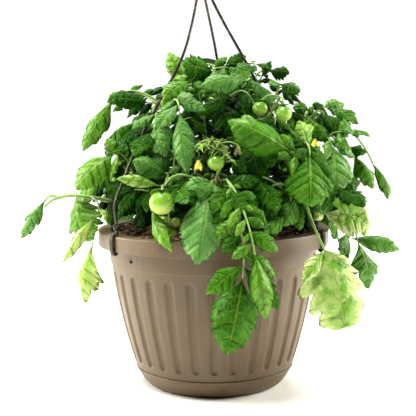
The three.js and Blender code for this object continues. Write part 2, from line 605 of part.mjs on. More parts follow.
/** A truss: its stalk joins the stem's node, and each fruit is a piece that hangs under its calyx. */
function addTruss([node, at, end, fruits], number) {
  const knee = seen(end);
  addStalk(node, at, [knee], 1.5);
  fruits.forEach(([centre, r], k) => {
    const middle = seen(centre);
    const top = r * FRUIT.flat * Math.cos(Math.PI / FRUIT.rows);
    const crown = middle.clone().addScaledVector(UP, top + SEAT_GAP + CALYX_THICK / 2);
    const bend = knee.clone().lerp(crown, 0.5).addScaledVector(UP, 4);
    const stalk = new THREE.CatmullRomCurve3([knee, bend, crown]);
    grow(node, solid(tube(stalk.getSpacedPoints(3), taper(1, 0.9, 4), 3)));
    addCalyx(node, crown, r * 0.75);
    const ball = new THREE.SphereGeometry(r, FRUIT.sides, FRUIT.rows).rotateX(Math.PI / 2);
    const place = ball.getAttribute('position');
    for (let i = 0; i < place.count; i++) {
      place.setZ(i, Math.min(place.getZ(i) * FRUIT.flat, top));
    }
    ball.translate(middle.x, middle.y, middle.z);
    keep(`tomato_${number + 1}_${k + 1}`, solid(ball), 'fruit');
  });
}

/** A nodding flower: a star of five petals with its cone below, behind it a green calyx on a stalk. */
function addFlower([node, at, knee, centre], number) {
  const { reach, thick, cone } = FLOWER;
  const middle = seen(centre);
  const crown = middle.clone().addScaledVector(UP, thick + SEAT_GAP + CALYX_THICK / 2);
  addStalk(node, at, [seen(knee), crown.clone().addScaledVector(UP, 8), crown], 1.1);
  addCalyx(node, crown, reach * 0.7);
  const petals = star(middle, { reach, notch: reach * 0.38, thick: thick * 2, lift: -1, start: 36 });
  const tip = middle.clone().addScaledVector(UP, -cone);
  keep(`flower_${number + 1}`, fuse([petals, solid(tube([middle, tip], [2, 0.5], 5))]), 'petal');
}

// ---------------------------------------------------------------- assembly
keep('basket', basket(), 'basket');
keep('saucer', saucer(), 'basket');
keep('soil', soil(Object.values(stems)), 'soil');
['left', 'right', 'back'].forEach((name, i) => {
  keep(`hanger_wire_${name}`, hangerWire(WIRE.turns[i], WIRE_WAYS[i]), 'wire');
});
keep('hanger_hook', hook(), 'wire');

for (const [name, stem] of Object.entries(stems)) grow(name, stemSolid(stem));
TRUSSES.forEach(addTruss);
FLOWERS.forEach(addFlower);

const missed = [];
LEAVES.forEach(([node, at, end, tip, wide, pairs, side], key) => {
  const roll = 50 * (chance(key + 0.3) - 0.5);
  const options = { wide, pairs, side, roll, key };
  if (!addLeaf(node, at, seen(end), seen(tip), options)) missed.push(`${node} ${key}`);
});
Object.entries(BACK_TURNS).forEach(([node, turn], s) => {
  BACK_LEAVES.forEach(([endR, endZ, tipR, tipZ, swing], k) => {
    const key = 100 + 10 * s + k;
    const at = turn + swing * (s % 2 ? 1 : -1) + 6 * (chance(key) - 0.5);
    const end = around(at, endR * (0.94 + 0.12 * chance(key + 1)), endZ);
    const tip = around(at + 10 * (chance(key + 2) - 0.5), tipR * (0.94 + 0.1 * chance(key + 3)), tipZ);
    const options = { wide: 28 + 9 * chance(key + 4), pairs: (k + 1) % 2, side: 34, key };
    if (!addLeaf(node, 0.5 + 0.12 * k, end, tip, options)) missed.push(`${node} ${k}`);
  });
});
group.userData.leftOut = missed; // leaves that found no free place

for (const [name, parts] of Object.entries(plant)) {
  group.add(mesh(`leafy_stem_${name}`, fuse(parts), 'leaf'));
}

export default group;
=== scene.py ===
"""Looks of a tomato plant in a fluted hanging basket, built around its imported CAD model.

Lengths in the tables and the shape functions are millimetres in the CAD's frame: +Z up, the
front is -Y, and the origin is the middle of the saucer's underside. Meshes are in metres.
"""
import logging
import math
from dataclasses import dataclass, field
from enum import Enum
from typing import Any, Callable, Iterator, Sequence

import bpy
import numpy as np
from mathutils import Euler, Matrix, Vector


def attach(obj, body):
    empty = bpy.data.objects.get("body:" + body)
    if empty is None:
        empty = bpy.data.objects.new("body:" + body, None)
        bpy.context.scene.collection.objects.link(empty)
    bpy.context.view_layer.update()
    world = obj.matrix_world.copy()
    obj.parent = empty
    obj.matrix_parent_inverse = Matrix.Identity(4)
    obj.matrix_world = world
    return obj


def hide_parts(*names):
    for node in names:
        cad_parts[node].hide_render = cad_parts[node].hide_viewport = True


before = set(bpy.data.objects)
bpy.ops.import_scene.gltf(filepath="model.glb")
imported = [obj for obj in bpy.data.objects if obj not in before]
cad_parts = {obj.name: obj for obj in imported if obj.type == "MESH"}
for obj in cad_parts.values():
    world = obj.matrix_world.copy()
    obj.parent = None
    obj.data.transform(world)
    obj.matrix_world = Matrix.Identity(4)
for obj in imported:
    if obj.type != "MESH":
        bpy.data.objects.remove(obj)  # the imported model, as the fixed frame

log = logging.getLogger("tomato_plant")

Array = np.ndarray
Place = tuple[float, float, float]
Colour = tuple[float, float, float]
Socket = bpy.types.NodeSocket
Node = bpy.types.Node
Tree = bpy.types.NodeTree
Material = bpy.types.Material
Object = bpy.types.Object
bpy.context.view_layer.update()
MM = 0.001
UP = np.array([0.0, 0.0, 1.0])

# ---------------- the plan, as in the CAD
EYE_AWAY, EYE_HEIGHT = 1000.0, 297.0  # the eye by which a place "as seen" is given
SOIL_MOUTH, SOIL_EDGE, SOIL_MIDDLE, STEM_DEPTH = 111.0, 168.0, 176.0, 12.0
TRIES, TURN_STEP, LIFT_STEP = 28, 3.6, 5.0  # the ways in which the CAD may have bent a leaf

# Each stem: its radius at the soil, and its way as seen: across, height and depth.
STEMS: dict[str, tuple[float, tuple[Place, ...]]] = {
    "left": (3.0, ((-22, 180, -14), (-36, 198, -22), (-70, 212, -32), (-104, 201, -30),
                   (-132, 205, -26), (-156, 208, -22), (-178, 203, -16), (-187, 195, -14))),
    "left_top": (3.0, ((-14, 180, 4), (-30, 215, -4), (-44, 268, -12), (-54, 300, -14), (-54, 316, -12))),
    "top": (3.2, ((4, 180, 14), (-2, 220, 12), (-10, 285, 6), (-14, 335, 2), (-12, 348, 0))),
    "right_top": (3.0, ((24, 180, 18), (40, 225, 14), (56, 286, 4), (66, 308, 0), (72, 322, 0))),
    "right": (3.0, ((40, 180, 4), (68, 205, -8), (98, 250, -18), (120, 280, -14), (128, 290, -12))),
    "right_low": (2.8, ((46, 180, -16), (84, 192, -24), (118, 205, -28), (140, 196, -30), (152, 178, -30))),
    "front_right": (2.8, ((22, 180, -34), (56, 196, -58), (90, 216, -76), (101, 198, -94),
                          (112, 170, -108), (121, 150, -114))),
    "front": (2.8, ((2, 180, -40), (-4, 196, -66), (4, 220, -88), (14, 224, -102))),
    "front_left": (2.8, ((-22, 180, -44), (-40, 190, -62), (-54, 206, -78), (-60, 206, -90))),
}
# The back stems: the azimuth of each from the front, then their radius and their way (out, height).
BACK_TURNS: dict[str, float] = {"back_right": 100, "back": 146, "back_middle": -164, "back_left": -126}
BACK_STEM = 2.8
BACK_WAY = ((30, 180), (48, 205), (72, 248), (88, 282), (84, 300))

# Each leaf: its stem, its place along it, the end of its rib and the tip of its end leaflet as seen,
# the end leaflet's width, the pairs of side leaflets and their length. Then how bright it is, partly
# its own green and partly painted shade for a leaf that lies in shade, and how pale: below zero that is a
# painted sheen, how minty its upper face is. A leaf's key is its row, counted from 0.
LEAVES: tuple[tuple[Any, ...], ...] = (
    ("left", 0.81, (-185, 204, -14), (-214, 160, -10), 17, 0, 0, 0.45, -0.6),
    ("left", 0.70, (-151, 206, -36), (-139, 156, -46), 38, 0, 0, 0.55, 0.0),
    ("left", 0.59, (-128, 188, -48), (-168, 133, -54), 15, 1, 15, 0.9, 0.7),
    ("left", 0.51, (-118, 214, -2), (-110, 171, 2), 20, 0, 0, 0.5, 0.0),
    ("left", 0.33, (-110, 252, -36), (-152, 216, -50), 40, 1, 26, 0.55, 0.0),
    ("left", 0.40, (-118, 217, -16), (-136, 238, -20), 20, 0, 0, 0.3, 0.0),
    ("left", 0.32, (-124, 144, 54), (-133, 80, 56), 25, 0, 0, 0.85, 0.45),
    ("left_top", 0.81, (-108, 313, -16), (-143, 257, -22), 24, 0, 0, 0.5, 0.0),
    ("left_top", 0.55, (-68, 284, -26), (-95, 265, -32), 22, 0, 0, 0.1, 0.0),
    ("left_top", 0.66, (-36, 300, -76), (-28, 231, -98), 27, 2, 36, 0.4, -0.6),
    ("left_top", 0.38, (-74, 263, -25), (-112, 257, -30), 24, 1, 24, 0.35, 0.0),
    ("left_top", 0.99, (-52, 318, -22), (-38, 300, -42), 20, 0, 0, 0.3, 0.0),
    ("top", 0.69, (-30, 326, 2), (-47, 364, 4), 20, 0, 0, 0.56, 0.0),
    ("top", 0.86, (0, 342, -16), (-32, 350, -36), 34, 1, 22, 0.3, 0.0),
    ("top", 0.99, (6, 346, -8), (26, 338, -26), 26, 0, 0, 0.2, 0.0),
    ("top", 0.62, (36, 332, -48), (-12, 326, -66), 26, 0, 0, 0.36, -0.55),
    ("top", 0.73, (44, 342, -24), (22, 336, -38), 18, 0, 0, 0.3, -0.5),
    ("right_top", 0.50, (54, 336, -8), (64, 353, -10), 12, 0, 0, 0.25, 0.0),
    ("right_top", 0.34, (62, 342, 2), (84, 340, -4), 20, 0, 0, 0.15, 0.0),
    ("right_top", 0.99, (74, 328, -8), (96, 320, -16), 22, 1, 20, 0.28, -0.4),
    ("right_top", 0.46, (32, 311, -60), (0, 290, -78), 17, 1, 24, 0.25, 0.0),
    ("right_top", 0.34, (92, 260, -86), (26, 295, -102), 44, 0, 0, 0.42, 0.0),
    ("right_top", 0.41, (104, 256, -58), (94, 287, -66), 24, 0, 0, 0.72, 0.0),
    ("right", 0.38, (90, 261, -94), (84, 206, -120), 54, 0, 0, 0.38, 0.0),
    ("right", 0.45, (112, 234, -70), (118, 192, -86), 20, 0, 0, 0.55, 0.0),
    ("right", 0.58, (130, 262, -46), (134, 208, -62), 40, 0, 0, 0.5, -0.5),
    ("right", 0.45, (122, 295, -24), (148, 270, -24), 24, 2, 26, 0.3, 0.0),
    ("right", 0.74, (146, 257, -14), (169, 253, -18), 16, 0, 0, 0.25, 0.0),
    ("right", 0.99, (154, 250, -6), (176, 213, -12), 25, 0, 0, 0.44, 0.0),
    ("right", 0.91, (176, 240, 8), (193, 200, 6), 10, 0, 0, 0.46, -0.2),
    ("front_right", 0.37, (128, 196, -74), (170, 199, -64), 28, 0, 0, 0.62, 0.1),
    ("right_low", 0.60, (124, 186, -52), (172, 172, -48), 32, 1, 20, 0.7, 0.85),
    ("right_low", 0.85, (152, 158, -20), (206, 144, -16), 20, 1, 24, 0.46, -0.4),
    ("right_low", 0.99, (160, 154, -34), (171, 101, -44), 26, 0, 0, 0.44, -0.5),
    ("front_right", 0.99, (123, 144, -116), (146, 56, -120), 52, 1, 34, 0.6, 0.72),
    ("front_right", 0.30, (92, 204, -88), (76, 172, -112), 26, 0, 0, 0.35, 0.0),
    ("front_right", 0.36, (82, 184, -104), (56, 166, -122), 22, 0, 0, 0.4, 0.0),
    ("front_right", 0.36, (64, 214, -86), (52, 182, -106), 26, 0, 0, 0.3, 0.0),
    ("front", 0.74, (-4, 214, -112), (-18, 131, -150), 46, 0, 0, 0.42, -0.8),
    ("front", 0.86, (2, 206, -110), (-20, 214, -126), 22, 0, 0, 0.4, -0.4),
    ("front", 0.99, (32, 114, -152), (14, 28, -152), 50, 3, 36, 0.34, 0.0),
    ("front", 0.90, (46, 140, -154), (57, 68, -156), 24, 2, 26, 0.5, 0.0),
    ("front", 0.23, (-1, 226, -96), (-6, 204, -120), 15, 0, 0, 0.45, 0.1),
    ("front", 0.57, (20, 246, -88), (36, 232, -100), 18, 0, 0, 0.3, 0.0),
    ("front_left", 0.65, (-68, 190, -98), (-46, 144, -136), 17, 0, 0, 0.6, 0.0),
    ("front_left", 0.38, (-82, 196, -60), (-76, 170, -72), 22, 0, 0, 0.12, 0.0),
    ("front_left", 0.56, (-58, 218, -86), (-106, 226, -92), 13, 0, 0, 0.65, 0.25),
    ("front_left", 0.82, (-52, 232, -80), (-88, 246, -88), 26, 1, 20, 0.4, -0.3),
    ("top", 0.55, (-30, 322, -30), (-60, 300, -44), 26, 1, 22, 0.5, 0.0),
    ("left_top", 0.50, (-62, 292, -50), (-52, 250, -72), 28, 1, 24, 0.42, -0.6),
    ("top", 0.50, (-6, 318, -46), (10, 286, -70), 30, 0, 0, 0.2, 0.0),
    ("right_top", 0.30, (20, 276, -62), (30, 234, -92), 30, 1, 24, 0.2, 0.0),
    ("right_top", 0.40, (68, 284, -52), (58, 236, -86), 32, 0, 0, 0.25, 0.0),
    ("front_right", 0.32, (42, 234, -88), (60, 200, -118), 28, 0, 0, 0.3, 0.0),
    ("left_top", 0.28, (-40, 256, -56), (-64, 226, -84), 28, 1, 22, 0.38, -0.5),
    ("front", 0.50, (-24, 228, -90), (-42, 200, -112), 25, 0, 0, 0.3, 0.0),
    ("right", 0.60, (102, 292, -30), (126, 266, -44), 26, 1, 22, 0.3, 0.0),
    ("left_top", 0.81, (-70, 309, -16), (-113, 314, -18), 20, 0, 0, 0.2, 0.0),
    ("right_low", 0.75, (164, 200, -40), (167, 160, -46), 24, 0, 0, 0.8, 0.95),
)
# By the leaf's key: how deep its lobes are cut, the leaves with no more leaflets than the CAD's, those
# whose end leaflet has a few deep, round lobes, and how much wider than in the CAD the slim ones are.
CUTS = {0: 0.5, 1: 0.9, 4: 0.5, 7: 0.3, 9: 0.4, 12: 0.3, 21: 0.25, 23: 0.25, 24: 0.3, 25: 0.3,
        30: 0.5, 31: 0.5, 34: 0.75, 38: 0.15, 40: 0.4, 41: 0.3, 57: 0.3, 58: 0.5}
BARE = {0, 1, 2, 3, 5, 6, 7, 8, 10, 12, 19, 26, 27, 28, 29, 30, 33, 34, 35, 36, 37, 43, 44, 51, 57, 58}
LOBED = {34}
FULLER = {1: 1.3, 6: 1.7, 12: 1.1, 22: 1.4, 29: 1.6, 33: 1.3, 34: 1.25}
FULLNESS = 1.15  # how much wider every blade is, since its cut margins take a part away
# The young shoots of a stem: how far along it they grow, how many there are, and how far left they
# may reach.
SHOOTS_TO = {"left": 0.4, "right": 0.6, "right_low": 0.45, "front_right": 0.2, "front": 0.6,
             "front_left": 0.6}
SHOOTS_FROM, SHOOTS_ELSE_TO = 0.12, 0.9
SHOOTS, SHOOTS_ELSE = {"front_left": 12, "left": 12, "right_low": 12}, 9
LEFTMOST = {"top": -38.0}
# A back stem's leaves: end radius and height, tip radius and height, and turn from the stem.
BACK_LEAVES = ((112, 200, 158, 146, -14), (106, 232, 160, 186, 16), (98, 262, 150, 226, -15),
               (80, 288, 128, 262, 14), (66, 322, 30, 342, -8))

# Each truss: stem, place along it, end of its stalk, and its fruits (centre as seen, radius).
TRUSSES: tuple[tuple[Any, ...], ...] = (
    ("front_left", 0.93, (-54, 216, -94), (((-57, 199, -116), 12.5), ((-56, 178, -97), 6.5),
                                           ((-42, 177, -97), 6), ((-48, 165, -104), 6))),
    ("front", 0.66, (16, 260, -84), (((3.5, 243, -100), 8.5),)),
    ("right_top", 0.37, (74, 314, -60), (((78, 296, -68), 8.5), ((52, 302, -58), 8))),
    ("back", 0.8, (10, 262, 120), (((14, 244, 128), 12), ((-4, 240, 124), 10))),
    ("back_right", 0.7, (100, 240, 60), (((108, 226, 62), 11),)),
)
# Each flower: the stem and place along it that its stalk leaves, the stalk's knee and the centre.
FLOWERS: tuple[tuple[Any, ...], ...] = (
    ("front_left", 0.47, (-38, 256, -80), (-16, 245, -90)),
    ("right", 0.63, (110, 286, -28), (112, 268, -42)),
    ("back_left", 0.8, (-78, 290, 64), (-70, 272, 72)),
)
# The stalk that carries the first truss, as seen.
TRUSS_WAY = ((-10, 210, -92), (-24, 227, -97), (-42, 229, -98), (-54, 216, -94))
# The arched stalk of spent flowers at the front, the crowns of those along it and those of the
# withered ones that hang from its end, as seen.
SPENT_WAY = ((-30, 240, -84), (-18, 262, -92), (-2, 268, -96), (12, 262, -98))
SPENT = ((-12, 262, -100), (-5, 259, -102), (2, 257, -102), (8, 256, -102), (14, 252, -102),
         (-2, 268, -98), (7, 266, -98), (20, 246, -102))
WITHERED = ((28, 262, -104), (4, 230, -104))
# Each wire: its name, the azimuth of its clip and the way that it goes as seen.
WIRE_WAYS = (
    ("left", -55.0, ((-110, 190, -74), (-102, 216, -68), (-80, 268, -52), (-57, 312, -38),
                     (-32, 359, -22), (-19, 405, -10))),
    ("right", 62.5, ((112, 190, -54), (98, 225, -46), (70, 286, -34), (39, 348, -20), (8, 404, -8))),
    ("back", 175.0, ((17, 190, 118), (15, 250, 96), (11, 310, 66), (4, 365, 36), (-5, 410, 14))),
)


# ---------------- numbers and curves
def chance(key: float) -> float:
    """A repeatable number from 0 to 1: the fraction of 43758.5453 sin(12.9898 key + 4.1414)."""
    s = math.sin(key * 12.9898 + 4.1414) * 43758.5453
    return s - math.floor(s)


def unit(v: Array) -> Array:
    """The vectors at length one."""
    return v / np.linalg.norm(v, axis=-1, keepdims=True)


def length(v: Array) -> float:
    """How long a vector is."""
    return float(np.linalg.norm(v))


def circle(count: int) -> Array:
    """Angles that divide a circle evenly."""
    return np.linspace(0, 2 * math.pi, count, endpoint=False)


def lerp(a: Any, b: Any, t: Any) -> Any:
    """a + (b - a) t."""
    return a + (b - a) * t


def seen(place: Sequence[float]) -> Array:
    """The point that looks to be at (across, height) from the front, at the stated depth."""
    across, height, depth = place
    scale = (EYE_AWAY + depth) / EYE_AWAY
    return np.array([across * scale, depth, EYE_HEIGHT + (height - EYE_HEIGHT) * scale])


def around(turn: float, r: float, z: float) -> Array:
    """The point at an azimuth from the front, in degrees, at a radius and height."""
    a = math.radians(turn)
    return np.array([math.sin(a) * r, -math.cos(a) * r, z])


def mound(r: Any) -> Any:
    """Height of the soil at a radius: it falls from the middle to the edge with the radius squared."""
    return lerp(SOIL_MIDDLE, SOIL_EDGE, (r / SOIL_MOUTH) ** 2)


def run_of(line: Array) -> Array:
    """The length of a line up to each of its points."""
    return np.concatenate([[0.0], np.cumsum(np.linalg.norm(np.diff(line, axis=0), axis=1))])


def along(points: Array, share: float) -> Array:
    """The point at a share of the way along a line, each of whose spans counts alike."""
    place = min(max(share, 0.0), 0.999) * (len(points) - 1)
    i = int(place)
    return lerp(points[i], points[i + 1], place - i)


def spun(v: Array, axis: Array, degrees: Any) -> Array:
    """v turned about a unit axis: v cos a + (axis x v) sin a + axis (axis . v)(1 - cos a)."""
    a = np.radians(degrees)
    c, s = np.cos(a), np.sin(a)
    return v * c + np.cross(axis, v) * s + axis * (v @ axis) * (1 - c)


def smooth_line(points: Array, per_span: int) -> Array:
    """A centripetal Catmull-Rom line: in each span a cubic through its ends, whose slopes weigh the
    neighbour spans by the root of their length.

    Args:
        points: the points that it passes, (n, 3).
        per_span: how many steps each span is cut into.

    Returns:
        Points along the line, ((n - 1) * per_span + 1, 3).
    """
    p = np.vstack([2 * points[0] - points[1], points, 2 * points[-1] - points[-2]])
    d = np.sqrt(np.linalg.norm(np.diff(p, axis=0), axis=1))[:, None]
    p0, p1, p2, p3 = p[:-3], p[1:-2], p[2:-1], p[3:]
    d0, d1, d2 = d[:-2], d[1:-1], d[2:]
    m1 = ((p1 - p0) / d0 - (p2 - p0) / (d0 + d1) + (p2 - p1) / d1) * d1
    m2 = ((p2 - p1) / d1 - (p3 - p1) / (d1 + d2) + (p3 - p2) / d2) * d1
    t = (np.arange(per_span) / per_span)[None, :, None]
    p1, p2, m1, m2 = (a[:, None, :] for a in (p1, p2, m1, m2))
    curve = p1 + m1 * t + (3 * (p2 - p1) - 2 * m1 - m2) * t**2 + (2 * (p1 - p2) + m1 + m2) * t**3
    return np.vstack([curve.reshape(-1, 3), points[-1]])


def even(line: Array, count: int) -> Array:
    """A line's points spaced evenly by length: each coordinate read off against the run length."""
    run = run_of(line)
    at = np.linspace(0, run[-1], count)
    return np.stack([np.interp(at, run, line[:, k]) for k in range(3)], axis=1)


def bezier(a: Array, b: Array, c: Array, d: Array, t: Array) -> Array:
    """A cubic curve: (1-t)^3 a + 3 (1-t)^2 t b + 3 (1-t) t^2 c + t^3 d."""
    t = np.atleast_1d(t)[:, None]
    s = 1 - t
    return s**3 * a + 3 * s**2 * t * b + 3 * s * t**2 * c + t**3 * d


def square_to(v: Array, ahead: Array) -> Array:
    """v less its part along a unit direction."""
    return v - ahead * (v @ ahead)


def face_of(base: Array, ahead: Array, roll: float = 0.0) -> Array:
    """The way the upper face of a blade looks, square to the blade: up, outwards by 0.006 of its
    place, and to the front unless it's behind the middle.

    Args:
        base: where the blade starts.
        ahead: the way that it points.
        roll: how far it's rolled about that, in degrees.

    Returns:
        The unit direction.
    """
    outwards, front = 0.006, 0.7 if base[1] < 20 else 0.0
    face = np.array([base[0] * outwards, base[1] * outwards - front, 0.7])
    return spun(unit(square_to(face, ahead)), ahead, roll)


def to_front(face: Array, ahead: Array, base: Array) -> Array:
    """A blade's face turned to the front and a little up, unless the blade is at the back."""
    return face if base[1] > 60 else unit(face + square_to(np.array([0.0, -0.9, 0.22]), ahead))


def face_up(way: Array) -> Array:
    """The direction nearest to straight up that is square to a way."""
    ahead = unit(way)
    return unit(UP - ahead * ahead[2])


def frames_along(line: Array) -> tuple[Array, Array]:
    """Two directions square to a line at each of its points, carried along it without twist: at each
    step the last one, less its part along the line.

    Args:
        line: the points of the line, (n, 3).

    Returns:
        The two directions, each (n, 3).
    """
    ahead = unit(np.gradient(line, axis=0))
    first = np.cross(ahead[0], UP if abs(ahead[0][2]) < 0.9 else np.array([1.0, 0.0, 0.0]))
    sides = [unit(first)]
    for direction in ahead[1:]:
        sides.append(unit(square_to(sides[-1], direction)))
    side = np.array(sides)
    return side, np.cross(ahead, side)


# ---------------- closed surfaces
class Skin(Enum):
    """Which finish of its piece a surface wears: the number of the material slot."""

    FIRST = 0
    SECOND = 1


@dataclass
class Patch:
    """A closed surface, and what its finish reads at each point.

    tint runs from dark to bright, pale is how bleached it is, and under is 1 on an underside; on a minty
    upper face it is a painted sheen of the underside's grey.
    """

    points: Array
    quads: Array
    tris: Array
    uv: Array
    tint: Array
    pale: Array
    under: Array
    skin: Skin = Skin.FIRST


def volume_of(points: Array, quads: Array, tris: Array) -> float:
    """Signed volume inside closed faces: the sum of a . (b x c) / 6 over their triangles."""
    faces = np.vstack([quads[:, [0, 1, 2]], quads[:, [0, 2, 3]], tris])
    a, b, c = (points[faces[:, k]] for k in range(3))
    return float(np.einsum("ij,ij->i", a, np.cross(b, c)).sum() / 6)


def sleeve(rings: Array, start: Array, end: Array, uv: Any = 0.0, skin: Skin = Skin.FIRST,
           tint: Any = 0.5, pale: Any = 0.0, under: Any = 0.0) -> Patch:
    """A closed skin over rings of points, with one point that closes each end.

    Args:
        rings: (rings, points round, 3), or the same with a leading axis for many alike.
        start, end: the point that closes each end, (3,) or (many, 3).
        uv: two numbers for each ring point, shaped as the rings are, or one number for all.
        skin: the finish that it wears.
        tint, pale, under: a number for all, or one for each ring point.

    Returns:
        The surface, its faces looking outwards.
    """
    rings = rings[None] if rings.ndim == 3 else rings
    many, count, round_ = rings.shape[:3]
    size = count * round_
    start, end = (np.broadcast_to(p, (many, 3)) for p in (start, end))
    points = np.concatenate([rings.reshape(many, size, 3), start[:, None], end[:, None]], axis=1)
    i = np.arange(count - 1)[:, None] * round_
    j = np.arange(round_)[None, :]
    k = (j + 1) % round_
    quads = np.stack([i + j, i + k, i + round_ + k, i + round_ + j], axis=-1).reshape(-1, 4)
    first, last = np.full(round_, size), np.full(round_, size + 1)
    j, k = j[0], k[0]
    rim = size - round_
    tris = np.vstack([np.stack([first, k, j], 1), np.stack([last, rim + j, rim + k], 1)])
    if volume_of(points[0], quads, tris) < 0:
        quads, tris = quads[:, ::-1], tris[:, ::-1]

    def spread(value: Any, *width: int) -> Array:
        """The numbers of every point, those at the ends being the mean of the ring beside them."""
        full = np.broadcast_to(np.asarray(value, float), (many, count, round_, *width))
        ends = [full[:, k].mean(axis=1)[:, None] for k in (0, -1)]
        return np.concatenate([full.reshape(many, size, *width), *ends], axis=1).reshape(-1, *width)

    step = (np.arange(many) * (size + 2))[:, None, None]
    return Patch(points.reshape(-1, 3), (quads[None] + step).reshape(-1, 4),
                 (tris[None] + step).reshape(-1, 3), spread(uv, 2), spread(tint), spread(pale),
                 spread(under), skin)


def tube(line: Array, radius: Any, sides: int, **wears: Any) -> Patch:
    """A closed tube: each point of the line plus r (cos a side + sin a over), rounded at both ends.

    Args:
        line: its middle, (n, 3).
        radius: one radius, or one for each point.
        sides: points round it.
        wears: finish and numbers, passed to sleeve.

    Returns:
        The surface.
    """
    radius = np.broadcast_to(np.asarray(radius, float), (len(line),))
    side, over = frames_along(line)
    a = circle(sides)
    swing = np.cos(a)[None, :, None] * side[:, None] + np.sin(a)[None, :, None] * over[:, None]
    rings = line[:, None] + radius[:, None, None] * swing
    ahead = np.cross(side, over)
    caps = [line[0] - ahead[0] * radius[0] * 0.5, line[-1] + ahead[-1] * radius[-1] * 0.5]
    uv = np.stack(np.broadcast_arrays(run_of(line)[:, None] * 0.1, (a / math.pi)[None, :]), axis=-1)
    return sleeve(rings, caps[0], caps[1], uv=uv, **wears)


def turned(profile: Array, sides: int, press: Any = 0.0, **wears: Any) -> Patch:
    """A profile of (radius, height) turned about +Z, less what is pressed into it.

    Args:
        profile: (n, 2), from the axis round to the axis.
        sides: points round it.
        press: how far it is pressed in: a number, or one for each ring point.
        wears: finish and numbers, passed to sleeve.

    Returns:
        The surface.
    """
    a = circle(sides)
    ring = profile[1:-1]
    radius = np.broadcast_to(ring[:, :1], (len(ring), sides)) - press
    height = np.broadcast_to(ring[:, 1:], radius.shape)
    rings = np.stack([radius * np.sin(a), -radius * np.cos(a), height], -1)
    ends = [np.array([0.0, 0.0, profile[k][1]]) for k in (0, -1)]
    return sleeve(rings, ends[0], ends[1], **wears)


def rounded(corners: Sequence[tuple[float, float, float]], steps: int = 4) -> Array:
    """A profile whose corners are arcs: each a quadratic curve from r before the corner to r past it.

    Args:
        corners: (radius, height, rounding) of each corner.
        steps: spans in each arc.

    Returns:
        The profile's points, (n, 2).
    """
    points = np.array([c[:2] for c in corners], float)
    out = [points[:1]]
    t = np.linspace(0, 1, steps + 1)[:, None]
    for i in range(1, len(points) - 1):
        r, here = corners[i][2], points[i]
        if r <= 0:
            out.append(here[None])
            continue
        ways = [points[i + k] - here for k in (-1, 1)]
        before, after = (here + unit(way) * min(r, 0.45 * length(way)) for way in ways)
        out.append((1 - t) ** 2 * before + 2 * t * (1 - t) * here + t**2 * after)
    return np.vstack(out + [points[-1:]])


# ---------------- pieces
def placed(name: str, data: bpy.types.ID) -> Object:
    """A new object in the scene."""
    made = bpy.data.objects.new(name, data)
    bpy.context.scene.collection.objects.link(made)
    return made


@dataclass
class Piece:
    """One mesh piece, put together from closed surfaces. It stands for a node of the CAD."""

    node: str
    slot: str
    materials: Sequence[Material]
    patches: list[Patch] = field(default_factory=list)

    def add(self, *patches: Patch) -> None:
        """Takes more surfaces in."""
        self.patches.extend(patches)

    def build(self) -> Object:
        """Makes the mesh and its object, which rides on the root and replaces the node.

        Returns:
            The finished object, at the origin.
        """
        steps = np.cumsum([0] + [len(p.points) for p in self.patches])[:-1]
        points = np.vstack([p.points for p in self.patches]) * MM
        quads = np.vstack([p.quads + s for p, s in zip(self.patches, steps)])
        tris = np.vstack([p.tris + s for p, s in zip(self.patches, steps)])
        skins = [np.full(len(getattr(p, kind)), p.skin.value)
                 for kind in ("quads", "tris") for p in self.patches]
        corners = np.concatenate([quads.ravel(), tris.ravel()]).astype(np.int32)
        sizes = np.concatenate([np.full(len(quads), 4), np.full(len(tris), 3)]).astype(np.int32)
        name = f"{self.node}_fine"
        mesh = bpy.data.meshes.new(name)
        mesh.vertices.add(len(points))
        mesh.vertices.foreach_set("co", points.ravel().astype(np.float32))
        mesh.loops.add(len(corners))
        mesh.loops.foreach_set("vertex_index", corners)
        mesh.polygons.add(len(sizes))
        mesh.polygons.foreach_set("loop_start", (np.cumsum(sizes) - sizes).astype(np.int32))
        mesh.polygons.foreach_set("material_index", np.concatenate(skins).astype(np.int32))
        mesh.polygons.foreach_set("use_smooth", np.ones(len(sizes), bool))
        uv = np.vstack([p.uv for p in self.patches])[corners]
        mesh.uv_layers.new(name="UVMap").data.foreach_set("uv", uv.ravel().astype(np.float32))
        for word in ("tint", "pale", "under"):
            values = np.concatenate([getattr(p, word) for p in self.patches]).astype(np.float32)
            mesh.attributes.new(word, "FLOAT", "POINT").data.foreach_set("value", values)
        mesh.update(calc_edges=True)
        mesh.validate()
        for material in self.materials:
            mesh.materials.append(material)
        piece = placed(name, mesh)
        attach(piece, "root")
        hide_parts(self.node)
        log.info("%s: %d faces", name, len(sizes))
        return piece


